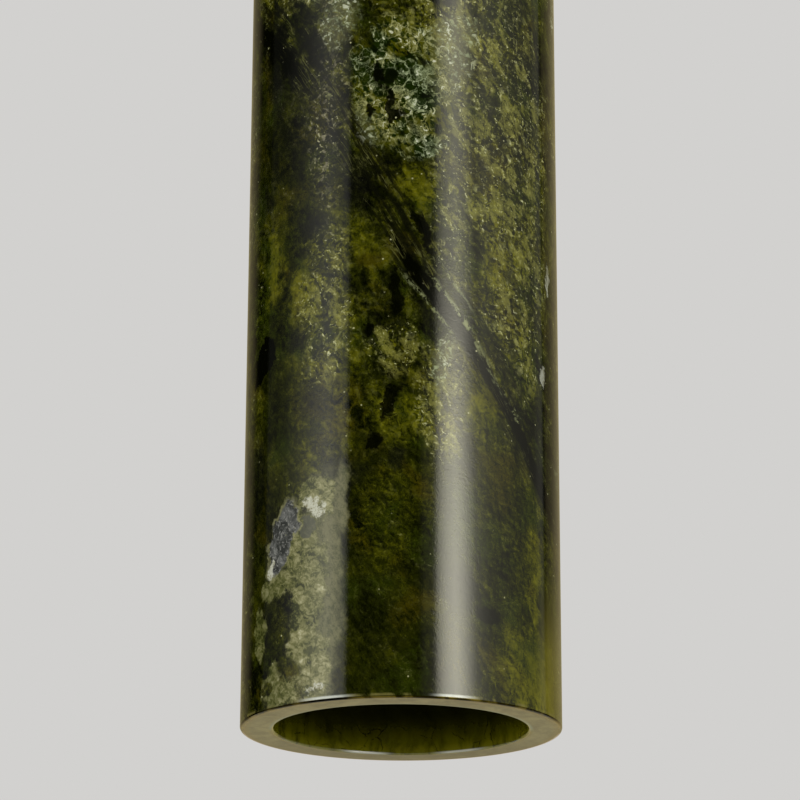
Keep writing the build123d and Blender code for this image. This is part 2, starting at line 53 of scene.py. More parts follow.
print("frame loaded:", len(nodes), "nodes")


# Tools for nodes

def linear(level):
    level = level / 255
    return level / 12.92 if level <= 0.04045 else ((level + 0.055) / 1.055) ** 2.4


def shade(red, green, blue):  # a colour given as 0 to 255, as it looks on the screen
    return linear(red), linear(green), linear(blue), 1


class Value:  # one socket of a node, usable in sums
    def __init__(self, tree, socket):
        self.tree, self.socket = tree, socket

    def other(self, name):  # another output of the same node
        return Value(self.tree, self.socket.node.outputs[name])

    def __add__(self, term):
        return self.tree.calc("ADD", self, term)

    def __radd__(self, term):
        return self.tree.calc("ADD", term, self)

    def __sub__(self, term):
        return self.tree.calc("SUBTRACT", self, term)

    def __rsub__(self, term):
        return self.tree.calc("SUBTRACT", term, self)

    def __mul__(self, term):
        return self.tree.calc("MULTIPLY", self, term)

    def __rmul__(self, term):
        return self.tree.calc("MULTIPLY", term, self)

    def __truediv__(self, term):
        return self.tree.calc("DIVIDE", self, term)

    def __rtruediv__(self, term):
        return self.tree.calc("DIVIDE", term, self)

    def __pow__(self, term):
        return self.tree.calc("POWER", self, term)

    def __gt__(self, term):
        return self.tree.calc("GREATER_THAN", self, term)

    def __lt__(self, term):
        return self.tree.calc("LESS_THAN", self, term)


class Tree:  # a node tree, of a material, the world or a Geometry Nodes modifier
    def __init__(self, made):
        self.made = made
        made.nodes.clear()

    def add(self, kind, settings=None, sockets=(), out=0):
        node = self.made.nodes.new(kind)
        for name, value in (settings or {}).items():
            if name == "stops":
                self.fillRamp(node.color_ramp, value)
            else:
                setattr(node, name, value)
        for name, value in sockets.items() if isinstance(sockets, dict) else enumerate(sockets):
            if isinstance(value, Value):
                self.made.links.new(value.socket, node.inputs[name])
            else:
                node.inputs[name].default_value = value
        return Value(self, node.outputs[out]) if len(node.outputs) else node

    def fillRamp(self, ramp, stops):  # stops: colours or levels by position
        while len(ramp.elements) > 1:
            ramp.elements.remove(ramp.elements[-1])
        for index, (position, colour) in enumerate(sorted(stops.items())):
            element = ramp.elements[0] if index == 0 else ramp.elements.new(position)
            element.position = position
            element.color = colour if isinstance(colour, tuple) else (colour, colour, colour, 1)

    def ramp(self, stops, value):
        return self.add("ShaderNodeValToRGB", {"stops": stops}, [value])

    def calc(self, operation, *terms, clamp=False):
        return self.add("ShaderNodeMath", {"operation": operation, "use_clamp": clamp}, terms)

    def clip(self, value):
        return self.calc("ADD", value, 0.0, clamp=True)

    def largest(self, *values):
        found = values[0]
        for value in values[1:]:
            found = self.calc("MAXIMUM", found, value)
        return found

    def smooth(self, value, low, high, start=0.0, end=1.0):
        places = {"Value": value, "From Min": low, "From Max": high, "To Min": start, "To Max": end}
        return self.add("ShaderNodeMapRange", {"interpolation_type": "SMOOTHSTEP"}, places)

    def band(self, value, middle, half, soft):  # 1 near middle, 0 further than half from it
        away = self.calc("ABSOLUTE", value - middle)
        return self.smooth(away, half - soft, half + soft, 1.0, 0.0)

    def split(self, vector):
        made = self.add("ShaderNodeSeparateXYZ", None, [vector])
        return made, made.other("Y"), made.other("Z")

    def join(self, x, y, z):
        return self.add("ShaderNodeCombineXYZ", None, [x, y, z])

    def vector(self, operation, first, second):
        return self.add("ShaderNodeVectorMath", {"operation": operation}, [first, second])

    def moved(self, vector, step):
        return self.vector("ADD", vector, step)

    def stretched(self, vector, shares):
        return self.vector("MULTIPLY", vector, shares)

    def scaled(self, vector, scale):
        return self.add("ShaderNodeVectorMath", {"operation": "SCALE"}, {0: vector, "Scale": scale})

    def noise(self, vector, scale, detail=2.0, roughness=0.5, distortion=0.0, out="Fac"):
        places = {
            "Vector": vector,
            "Scale": scale,
            "Detail": detail,
            "Roughness": roughness,
            "Distortion": distortion,
        }
        return self.add("ShaderNodeTexNoise", None, places, out)

    def cells(self, vector, scale, feature="F1", out="Distance"):
        return self.add("ShaderNodeTexVoronoi", {"feature": feature}, {"Vector": vector, "Scale": scale}, out)

    def mix(self, amount, first, second):  # the node keeps amount within 0 and 1
        places = {0: amount, 6: first, 7: second}
        return self.add("ShaderNodeMix", {"data_type": "RGBA"}, places, 2)


class Finish(Tree):  # a material under construction
    def __init__(self, name):
        self.material = bpy.data.materials.new(name)
        self.material.use_nodes = True
        super().__init__(self.material.node_tree)

    def point(self):  # the point on the piece, in millimetres
        return self.scaled(self.add("ShaderNodeTexCoord", out="Object"), 1 / millimetre)

    def bump(self, height, distance, strength):
        places = {"Height": height, "Distance": distance * millimetre, "Strength": strength}
        return self.add("ShaderNodeBump", None, places)

    def finish(self, sockets):
        surface = self.add("ShaderNodeBsdfPrincipled", None, sockets)
        self.add("ShaderNodeOutputMaterial", None, {"Surface": surface})
        return self.material


# Studio: camera, room and floor

camera = {
    "lens": 142.05,
    "sensor": 36,
    "distance": 0.7729,
    "belowRim": 0.1547,
    "pitch": 17.299,
    "yaw": -0.042,
    "roll": 0.2142,
}
studio = {
    "wall": shade(210, 209, 207),
    "floor": shade(208, 207, 204),
    "floorGrain": shade(198, 197, 194),
    "floorDrop": 1.1,
    "floorRadius": 2.6,
    "floorFade": (500, 2400),  # millimetres from the middle
    "diffuseLevel": 0.62,
    "backWall": 0.66,
    "backTint": (1.0, 0.84, 0.45),
    "leftBox": 1.42,
    "leftTint": (1.0, 0.99, 0.93),
    "rightBox": 6.7,
    "rightTint": (1.06, 1.02, 0.84),
    "ceiling": 0.8,
}
lamps = {
    "keyLamp": {"place": (-1.4, -1.6, 1.3), "size": 1.4, "power": 26},
    "fillLamp": {"place": (1.7, -1.2, 0.4), "size": 1.4, "power": 14},
}
# reflected brightness by direction round the tube, in degrees from the camera, towards +X
leftProfile = {
    -116.5: 0, -115: 0.04, -103: 0.05, -95: 0.08, -85: 0.2, -75: 0.4, -66: 0.7, -58: 0.92,
    -53: 0.93, -48: 0.68, -43: 0.62, -40.5: 0.42, -39: 0,
}
rightProfile = {
    12: 0, 16: 0.02, 20: 0.03, 23.4: 0.05, 25.8: 0.36, 28.8: 0.57, 32: 0.78, 38.7: 1,
    44: 0.78, 49: 0.48, 54: 0.22, 60: 0.06, 66: 0,
}
tailProfile = {
    54: 0, 61: 0.52, 66: 0.57, 71: 0.47, 78: 0.38, 90: 0.26, 104: 0.18, 112: 0.15,
    117: 0.2, 123.5: 0.2, 125: 0.03, 128: 0,
}
backProfile = {
    -180: 1, -168: 0.7, -158: 0.5, -150: 0.4, -143: 0.3, -138: 0.14, -134: 0.03, -132: 0,
    127: 0, 129: 0.3, 135: 0.33, 143: 0.52, 151: 0.7, 163: 0.8, 180: 1,
}
# how each part of the room fades with elevation: from and to in degrees, level before and after
fades = {
    "low": (-35, -15, 0.0, 1.0),
    "high": (42, 60, 1.0, 0.0),
    "left": (14.5, 20.5, 1.0, 0.45),
    "leftTop": (21.3, 23.3, 1.0, 0.84),
    "right": (14.5, 20.5, 1.0, 0.35),
    "back": (-4, 8, 1.0, 0.62),
    "ceiling": (40, 66, 0.0, 1.0),
}
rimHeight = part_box("jade_tube")[0].z / millimetre


def placeCamera():
    body = bpy.data.cameras.new("photoCamera")
    body.lens = camera["lens"]
    body.sensor_width = camera["sensor"]
    body.clip_start, body.clip_end = 0.01, 100
    made = bpy.data.objects.new("photoCamera", body)
    scene.collection.objects.link(made)
    place = (0, -camera["distance"], rimHeight * millimetre - camera["belowRim"])
    turn = Matrix.Rotation(math.radians(-camera["yaw"]), 4, "Z")
    tilt = Matrix.Rotation(math.radians(90 + camera["pitch"]), 4, "X")
    roll = Matrix.Rotation(math.radians(camera["roll"]), 4, "Z")
    made.matrix_world = Matrix.Translation(place) @ turn @ tilt @ roll
    scene.camera = made


def buildRoom():
    world = bpy.data.worlds.new("room")
    world.use_nodes = True
    scene.world = world
    tree = Tree(world.node_tree)
    x, y, z = tree.split(tree.add("ShaderNodeTexCoord", out="Generated"))
    azimuth = tree.calc("ARCTAN2", x, 0.0 - y) / (2 * math.pi) + 0.5
    elevation = tree.calc("ARCSINE", z) * (180 / math.pi)

    def profile(stops):
        return tree.ramp({0.5 + angle / 360: share for angle, share in stops.items()}, azimuth)

    def fade(name):
        return tree.smooth(elevation, *fades[name])

    height = fade("low") * fade("high")
    left = profile(leftProfile) * fade("left") * studio["leftBox"] * fade("leftTop")
    right = profile(rightProfile) * fade("right") * studio["rightBox"] + profile(tailProfile)
    back = profile(backProfile) * fade("back") * studio["backWall"]
    ceiling = fade("ceiling") * studio["ceiling"]
    reflected = tree.join(ceiling, ceiling, ceiling)
    for tint, level in (("leftTint", left * height), ("rightTint", right * height), ("backTint", back)):
        reflected = tree.moved(reflected, tree.scaled(studio[tint], level))
    ray = tree.add("ShaderNodeLightPath", out="Is Camera Ray")
    seen = tree.largest(ray, ray.other("Is Transmission Ray"))
    diffuse = (studio["diffuseLevel"],) * 3 + (1,)
    colour = tree.mix(seen, tree.mix(ray.other("Is Glossy Ray"), diffuse, reflected), studio["wall"])
    background = tree.add("ShaderNodeBackground", None, {"Color": colour, "Strength": 1.0})
    tree.add("ShaderNodeOutputWorld", None, {"Surface": background})


def buildFloor():
    mesh = bpy.data.meshes.new("floor")
    form = bmesh.new()
    bmesh.ops.create_circle(form, cap_ends=True, segments=96, radius=studio["floorRadius"])
    form.to_mesh(mesh)
    form.free()
    level = rimHeight * millimetre - studio["floorDrop"]
    mesh.transform(Matrix.Translation((0, 0, level)))
    floor = bpy.data.objects.new("floor", mesh)
    scene.collection.objects.link(floor)
    finish = Finish("floorPaper")
    point = finish.point()
    x, y, z = finish.split(point)
    away = finish.calc("SQRT", x * x + y * y)
    paper = finish.mix(finish.noise(point, 0.02, 3) * 0.06, studio["floor"], studio["floorGrain"])
    near = finish.add("ShaderNodeBsdfDiffuse", None, {"Color": paper})
    far = finish.add("ShaderNodeEmission", None, {"Color": studio["wall"]})
    both = finish.add("ShaderNodeMixShader", None, [finish.smooth(away, *studio["floorFade"]), near, far])
    finish.add("ShaderNodeOutputMaterial", None, {"Surface": both})
    mesh.materials.append(finish.material)


def placeLamp(name, place, size, power):
    body = bpy.data.lights.new(name, "AREA")
    body.shape = "DISK"
    body.size = size
    body.energy = power
    lamp = bpy.data.objects.new(name, body)
    scene.collection.objects.link(lamp)
    lamp.location = place
    lamp.rotation_euler = lamp.location.to_track_quat("Z", "Y").to_euler()
    lamp.visible_glossy = False
    lamp.visible_camera = False


placeCamera()
buildRoom()
buildFloor()
for name, lamp in lamps.items():
    placeLamp(name, **lamp)
print("studio built")


# Jade tube: sizes in millimetres, heights from the mouth of the cord's gland

jadeTube = {
    "radius": 40.0,
    "bore": 31.6,
    "top": -28.9,
    "bottom": -408.9,
    "lipBore": 20.0,
    "lipBottom": -42.9,
    "arris": 0.5,
    "boreArris": 0.6,
    "rootRadius": 2.0,
    "segments": 360,
}
stone = {
    "pit": (4, 5, 1), "deep": (16, 19, 1), "dark": (33, 36, 2), "olive": (52, 54, 3),
    "leaf": (80, 80, 8), "glow": (108, 106, 10), "umber": (62, 50, 2), "fern": (24, 42, 3),
    "soot": (16, 16, 14), "gloom": (24, 27, 12), "seam": (12, 13, 5), "sage": (152, 164, 122),
    "straw": (156, 155, 98), "gold": (168, 166, 92), "dullStraw": (134, 128, 102),
    "fleck": (116, 117, 64), "dullFleck": (98, 96, 72), "field": (136, 134, 62),
    "flakeDark": (112, 112, 44), "flakePale": (146, 148, 100), "spark": (196, 196, 150),
    "speck": (190, 188, 140), "cloud": (120, 118, 74), "cream": (198, 200, 176),
    "hazeDark": (80, 83, 48), "hazePale": (124, 121, 84), "lichenHollow": (50, 54, 22),
    "lichenDark": (96, 98, 50), "lichenBody": (132, 130, 84), "lichenPale": (162, 159, 114),
    "lichenTip": (196, 193, 154), "lichenSide": (66, 72, 26), "slateOutline": (148, 146, 102),
    "slateDark": (46, 48, 44), "slatePale": (110, 111, 106), "slateVein": (150, 150, 142),
    "chipDark": (128, 122, 86), "chipPale": (206, 207, 186), "chipSide": (120, 124, 108),
    "lensDark": (58, 60, 48), "lensPale": (92, 93, 78), "edgeGlow": (128, 124, 26),
    "sideGlow": (126, 118, 40), "edgeLine": (122, 114, 62), "edgeShine": (206, 210, 198),
    "arrisDark": (40, 34, 2), "arrisPale": (112, 98, 34), "boreDark": (13, 14, 2),
    "borePale": (30, 31, 3), "boreShine": (100, 98, 4), "boreFoot": (126, 122, 26),
    "boreLine": (214, 214, 196), "rimDark": (124, 114, 66), "rimPale": (152, 141, 88),
    "rimOuter": (150, 128, 58), "rimFar": (104, 93, 40), "rimInnerFar": (136, 118, 34),
    "rimInnerNear": (152, 158, 124), "rimFarLine": (222, 200, 164),
    "bedAngle": 30.6,  # degrees, of the stone's bedding
    "wander": 10.0,  # how far the patches' outlines stray, in millimetres
    "fineWander": 2.6,
    "seamPlace": -148.0,
    "seamBend": 12.0,
    "polish": 0.03,
    "rimRoughness": 0.42,
    "refraction": 1.6,
}
# how the seam bows from its plane, and how strong its black core is, from the left of the tube to the right
seamBow = {
    0: 0.52, 0.12: 0.5, 0.19: 0.59, 0.32: 0.42, 0.38: 0.34, 0.49: 0.3, 0.57: 0.44, 0.65: 0.545,
    0.71: 0.6, 0.77: 0.61, 0.83: 0.66, 0.88: 0.6, 0.92: 0.51,
}
seamCore = {
    0: 0.7, 0.14: 0.7, 0.19: 0.25, 0.36: 0.25, 0.46: 0.35, 0.52: 0.65, 0.58: 0.75, 0.68: 0.7,
    0.76: 0.62, 0.86: 0.62, 0.94: 0.7,
}
# patches on the stone: place round the tube from the front, height over the rim, half width, half height,
# and the lean in degrees of those that lean
patchPlaces = {
    "moss": [(-1, 157, 14, 21), (3, 152, 11, 16, 10)],
    "clouds": [
        (12.3, 166, 8, 10), (15.5, 172, 7, 7), (9, 160, 6, 8, 30), (10, 87, 4, 7), (-9.1, 146, 5, 6, 30),
        (-16, 176, 7, 9), (9.5, 83, 3, 8),
    ],
    "flakes": [
        (-20, 100, 9, 26), (30, 150, 20, 44), (22, 175, 16, 18), (14, 140, 9, 26), (-2, 86, 6, 8),
        (-18, 177, 7, 9), (32, 108, 15, 34), (8, 172, 12, 12), (12, 118, 7, 20), (-20, 150, 6.5, 29),
        (10, 76, 8, 20), (22, 127, 8, 11), (0.5, 88, 3, 8), (-5, 89, 7, 5),
    ],
    "ochre": [
        (3.4, 130, 7, 10), (-9, 113, 8, 13), (23.6, 122, 5, 15, -12), (31, 112.4, 7, 10), (-24, 101, 8, 11),
        (-38.4, 111, 4, 18), (23.3, 75, 6, 8), (36, 9, 20, 16), (37, 35, 4, 28), (-14.6, 66.7, 5, 4),
        (-14, 81, 7, 14), (-22, 93, 14, 24), (4, 76, 6, 20), (26, 114, 7, 11), (21, 126, 6, 11),
        (6, 103, 4, 6), (38, 60, 6, 13), (-44, 22, 4, 16), (-12.5, 62, 4, 9), (-35, 122, 4, 24),
        (-27, 105, 6, 9),
    ],
    "glow": [
        (24, 121, 5, 18, -8), (30, 112, 8, 12), (3.4, 131, 8, 11), (36, 8, 14, 9), (39, 34, 2.5, 24),
        (22, 74, 5, 7), (-38.5, 112, 2.5, 15), (6, 162, 4, 5), (-25, 106, 7, 12),
    ],
    "soot": [
        (-38, 163, 4, 9, 10), (-12, 132, 5, 11), (-44, 60, 5, 14), (-42, 132, 4, 6), (-31, 166, 4, 10, 20),
        (12.5, 80, 7, 6), (39.5, 167, 6, 14), (-16, 55, 8, 6), (-24, 76, 5, 8, -15), (-29, 93, 4, 4),
        (-1, 58.5, 3.4, 4), (9.6, 166, 3, 4), (18.8, 175, 3, 5), (-24, 121, 6, 5, 20), (14, 26, 5, 8),
        (16, 60, 4, 10),
    ],
    "black": [
        (-38, 174.5, 7, 5, 45), (-33, 168, 5, 4, 45), (-6.6, 158.8, 1.9, 3.8), (-3.7, 153.5, 1.6, 4),
        (-8.6, 150, 1.6, 2.8), (-2.4, 148.5, 3, 3.2, 20), (4.5, 117, 1.5, 9, 30), (-2.5, 101, 2.6, 7),
        (-3, 73.8, 2.4, 5.4, -25), (-6.6, 64.1, 2.4, 3.6, -12), (22.4, 20.7, 5, 3), (-9, 92, 2, 3),
    ],
    "lichen": [
        (-25, 24, 6.5, 27), (-29, 40, 6, 9), (-34, 31, 7, 4.5), (-33, 5, 9, 7), (-22, 8, 5, 10),
        (-22, 50, 5, 6), (-41, 20, 3, 8),
    ],
    "haze": [(-20.5, 24, 6.5, 42), (-21, 42, 6, 14), (-16, 50, 3.5, 11)],
    "holes": [
        (-31.2, 18.9, 4.5, 5, 10), (-36.8, 14, 5, 4), (-29, 9, 5.6, 3.8, -30), (-35, 24, 3, 2.5),
        (-38, 5, 3.4, 3),
    ],
    "slate": [(-32.8, 42.5, 6.5, 12.5, -22)],
    "calm": [
        (0, 18, 30, 66), (-25, 126, 16, 22), (24, 24, 24, 60), (-30, 74, 14, 22), (-40, 150, 10, 30),
        (-40, 60, 10, 60),
    ],
    "cream": [
        (-23.2, 47.2, 3.0, 3.4, 25), (-37.4, 35.4, 1.2, 3.0, 15), (-21.6, 2.4, 3.2, 1.6),
        (43.2, 87, 1.7, 4, -8), (46.8, 112.8, 1.6, 5),
    ],
    "lens": [(-25, 43.2, 2.4, 2.5)],
    "ink": [(-42.2, 89.5, 4.6, 8.4, -26)],
    "mellow": [
        (27, 36, 17, 60), (28, 96, 15, 44), (-22, 122, 13, 22), (-22, 72, 11, 20), (-2, 45, 13, 17),
        (-1, 69, 12, 10), (-44, 92, 5, 34), (0, 172, 10, 8),
    ],
}
# the noise that stands in for the patches where the photograph doesn't show the stone: seed, scale, and
# the levels between which a patch begins
zones = {
    "moss": (11, 0.022, 0.60, 0.70),
    "clouds": (23, 0.035, 0.62, 0.74),
    "flakes": (37, 0.017, 0.50, 0.64),
    "ochre": (41, 0.04, 0.50, 0.66),
    "soot": (53, 0.04, 0.55, 0.70),
    "black": (67, 0.09, 0.66, 0.74),
    "lichen": (71, 0.03, 0.63, 0.72),
}


def turned(name, outline, segments, materials=()):  # outline: (radius, height) in millimetres, anticlockwise
    form = bmesh.new()
    rings = []
    for radius, height in outline:
        radius, height = radius * millimetre, height * millimetre
        count = segments if radius > 1e-9 else 1
        angles = [2 * math.pi * step / segments for step in range(count)]
        ring = [form.verts.new((radius * math.cos(a), radius * math.sin(a), height)) for a in angles]
        rings.append(ring)
    for first, second in zip(rings, rings[1:] + rings[:1]):
        for step in range(segments):
            walk = ((first, step), (first, step + 1), (second, step + 1), (second, step))
            corners = list(dict.fromkeys(ring[place % segments % len(ring)] for ring, place in walk))
            if len(corners) > 2:
                form.faces.new(corners)
    bmesh.ops.recalc_face_normals(form, faces=form.faces)
    for face in form.faces:
        face.smooth = True
    mesh = bpy.data.meshes.new(name)
    form.to_mesh(mesh)
    form.free()
    piece = bpy.data.objects.new(name, mesh)
    scene.collection.objects.link(piece)
    for material in materials:
        mesh.materials.append(material)
    return piece


def register(piece, body, node):
    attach(piece, body)
    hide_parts(node)


def arc(centre, radius, start, end, steps):  # points of an arc, angles in degrees
    found = []
    for step in range(steps + 1):
        angle = math.radians(start + (end - start) * step / steps)
        found.append((centre[0] + radius * math.cos(angle), centre[1] + radius * math.sin(angle)))
    return found


def named(tone):  # a colour of the stone by its name; anything else as it is
    return shade(*stone[tone]) if isinstance(tone, str) else tone


class Stone(Finish):  # the jade's material, with tools for its layers
    def mix(self, amount, first, second):
        return super().mix(amount, named(first), named(second))

    def ramp(self, stops, value):
        return super().ramp({position: named(tone) for position, tone in stops.items()}, value)

    def paint(self, amount, tone):  # lays a tone over the colour so far
        self.colour = self.mix(amount, self.colour, tone)

    def seeded(self, vector, seed):
        return self.moved(vector, (seed, seed * 2.0, seed * 3.0))

    def stray(self, span, *noise):  # a random step, by the settings of its noise
        step = self.vector("SUBTRACT", self.noise(self.at, *noise, out="Color"), (0.5, 0.5, 0.5))
        return self.scaled(step, span)

    def patches(self, name):
        masks = []
        for across, up, halfWidth, halfHeight, *lean in patchPlaces[name]:
            spot = {
                "Vector": self.laid,
                "Location": (across, up, 0),
                "Rotation": (0, 0, math.radians(sum(lean))),
                "Scale": (halfWidth, halfHeight, 1),
            }
            local = self.add("ShaderNodeMapping", {"vector_type": "TEXTURE"}, spot)
            masks.append(self.add("ShaderNodeTexGradient", {"gradient_type": "SPHERICAL"}, [local], "Fac"))
        return self.largest(*masks)

    def zone(self, name):  # patches as placed, and from noise where the photograph doesn't show the stone
        seed, scale, low, high = zones[name]
        noise = self.noise(self.seeded(self.at, seed), scale, 2, 0.5)
        return self.largest(self.patches(name), self.smooth(noise, low, high, 0.0, 0.8) * self.unseen)

    def ragged(self, mask, edge, low, high):  # a mask whose edge is broken by noise
        return self.smooth(mask + edge * self.smooth(mask, 0.0, 0.12), low, high)

    def felt(self, grains, strands, stretch, bend, seed):  # each grain's strands run and bend their own way
        moved = self.seeded(self.bent, seed)
        cell = self.cells(moved, grains)
        centre, tint = cell.other("Position"), cell.other("Color")
        places = {"Vector": moved, "Center": centre, "Rotation": self.scaled(tint, 2 * math.pi)}
        local = self.add("ShaderNodeVectorRotate", {"rotation_type": "EULER_XYZ"}, places)
        over, beside, along = self.split(self.vector("SUBTRACT", local, centre))
        curved = self.join(over + along * along * bend, beside, along * stretch)
        return self.noise(self.moved(curved, self.scaled(tint, 60.0)), strands, 1, 0.4), self.split(tint)

    def loops(self, grains, radius, width, seed):  # small broken loops, as of thin crystals seen on edge
        cell = self.cells(self.seeded(self.bent, seed), grains)
        pick = self.split(cell.other("Color"))
        line = self.band(cell, radius + pick[1] * 0.2, width, width * 0.5) * self.smooth(pick[0], 0.55, 0.8)
        return line, cell, pick

    # painted light and shade: the relief's light and dark sides are laid into the colour, as if lit from one
    # side
    def paintedRelief(self, scale, step, distortion):  # light and dark sides: a noise less itself a little way off
        here, away = self.bent, self.moved(self.bent, step)
        settings = (scale, 3, 0.6, distortion)
        return self.noise(here, *settings) - self.noise(away, *settings)


def stoneFields(f):  # what the layers share: places on the stone, noises and masks
    f.at = f.point()
    f.x, f.y, z = f.split(f.at)
    f.height = z - rimHeight
    f.reach = f.calc("SQRT", f.x * f.x + f.y * f.y)
    f.around = f.calc("ARCTAN2", f.x, 0.0 - f.y) * jadeTube["radius"]
    f.unseen = f.largest(f.smooth(f.height, 178, 192), f.smooth(f.y, -16, -4))
    f.fineWarp = f.stray(stone["fineWander"], 0.45, 3, 0.6)
    f.warp = f.moved(f.stray(stone["wander"], 0.09, 4, 0.55, 0.3), f.fineWarp)
    f.laid = f.moved(f.join(f.around, f.height, 0.0), f.stretched(f.warp, (1, 1, 0)))
    f.bent = f.moved(f.at, f.scaled(f.fineWarp, 0.7))
    # the stone's bedding, which the seams and streaks follow
    bedding = {"Vector": f.at, "Rotation": (0, math.radians(stone["bedAngle"]), 0)}
    f.leaning = f.add("ShaderNodeMapping", {"vector_type": "POINT"}, bedding)
    f.bedded = f.stretched(f.leaning, (1.0, 0.75, 0.55))
    f.streaky = f.stretched(f.leaning, (1.0, 0.16, 0.07))
    f.streak = f.noise(f.streaky, 0.42, 3, 0.6, 0.3)
    f.mottle = f.noise(f.bedded, 0.10, 5, 0.58, 0.6)
    f.second = f.noise(f.moved(f.bedded, (40.0, 7.0, 90.0)), 0.21, 4, 0.6, 0.5)
    f.hue = f.noise(f.at, 0.07, 3, 0.5, 0.4)
    f.broad = f.noise(f.at, 0.018, 3, 0.5, 0.4)
    f.grain = f.noise(f.bedded, 0.8, 4, 0.65, 0.4)
    f.fine = f.noise(f.at, 2.6, 3, 0.65)
    f.grainTone = f.grain * 0.6 + f.fine * 0.4
    # plates and chips: painted relief, whose light and dark sides go into the colour; the bump uses them too
    f.plates = f.paintedRelief(0.30, (0.6, 0.3, 0.6), 1.4)
    f.chips = f.paintedRelief(0.72, (0.24, 0.12, 0.3), 0.8)
    f.patchy = f.smooth(f.noise(f.moved(f.bedded, (9.0, 60.0, 3.0)), 0.3, 2, 0.5), 0.46, 0.62)
    # painted highlights where the relief's light sides are strongest
    f.spark = f.smooth(f.chips + f.plates * 0.5, 0.13, 0.2) * f.smooth(f.grainTone, 0.44, 0.54)
    f.uneven = (f.second - 0.5) * 0.8
    f.gritty = (f.grainTone - 0.5) * 0.8
    f.calm = f.smooth(f.patches("calm"), 0.0, 0.4)
    f.near = f.ragged(f.zone("moss"), f.uneven, 0.0, 0.30)
    flakes = f.ragged(f.zone("flakes"), f.uneven, 0.0, 0.5)
    f.spread = f.largest(flakes, f.smooth(f.uneven, 0.05, 0.35) * 0.35)


def layGround(f):
    lit = f.ragged(f.zone("ochre"), f.uneven, 0.0, 0.7)
    shut = f.ragged(f.zone("soot"), f.uneven, 0.0, 0.65)
    # painted glow: patches brightened as if lit through the stone
    glow = f.ragged(f.patches("glow"), f.uneven * 1.3, 0.0, 0.65)
    mellow = f.smooth(f.patches("mellow"), 0.0, 0.45)
    stir = (f.mottle - 0.5) * 1.05 + (f.second - 0.5) * 0.75
    level = stir * (0.85 - f.calm * 0.35) + (f.grainTone - 0.5) * 0.75 + (f.broad - 0.5) * 0.3 + 0.50
    # painted light and shade of the relief, stronger where the stone is flaked
    level = level + f.plates * (0.6 - f.calm * 0.5 + f.spread * 0.7)
    level = level + f.chips * f.patchy * (f.spread * 0.9 + 0.1)
    level = level + mellow * (0.07 + f.plates * 0.45 + f.chips * 0.35)
    level = level - f.calm * 0.02 + lit * 0.12 - shut * 0.06 - f.near * 0.12 + f.spread * 0.10 + glow * 0.08
    stops = {0.26: "pit", 0.40: "deep", 0.52: "dark", 0.63: "olive", 0.78: "leaf", 0.94: "glow"}
    f.colour = f.ramp(stops, level)
    f.paint(f.smooth(f.hue, 0.52, 0.68) * f.smooth(level, 0.4, 0.6) * 0.4, "umber")
    f.paint(f.smooth(f.hue, 0.50, 0.34) * f.smooth(level, 0.4, 0.6) * 0.45, "fern")
    f.paint(shut * 0.4, "soot")
    f.paint(glow * f.smooth(level, 0.5, 0.8) * 0.2, "glow")


def layFlakes(f):  # angular flakes, a millimetre or two across, some pale and some dark
    edge = f.smooth(f.cells(f.bent, 0.48, "DISTANCE_TO_EDGE") + (f.fine - 0.5) * 0.12, 0.03, 0.17)
    pick = f.split(f.cells(f.bent, 0.48, out="Color"))
    flake = edge * f.spread * f.smooth(f.second * 0.5 + f.hue * 0.5, 0.44, 0.54)
    tone = f.mix(f.smooth(pick[1], 0.3, 0.8), "flakeDark", "flakePale")
    # pale flakes show more on the painted light sides of the relief
    f.paint(flake * f.smooth(pick[0], 0.66, 0.8) * (0.3 + f.plates * 2.0), tone)
    f.paint(flake * f.smooth(pick[2], 0.62, 0.8) * 0.75, "deep")


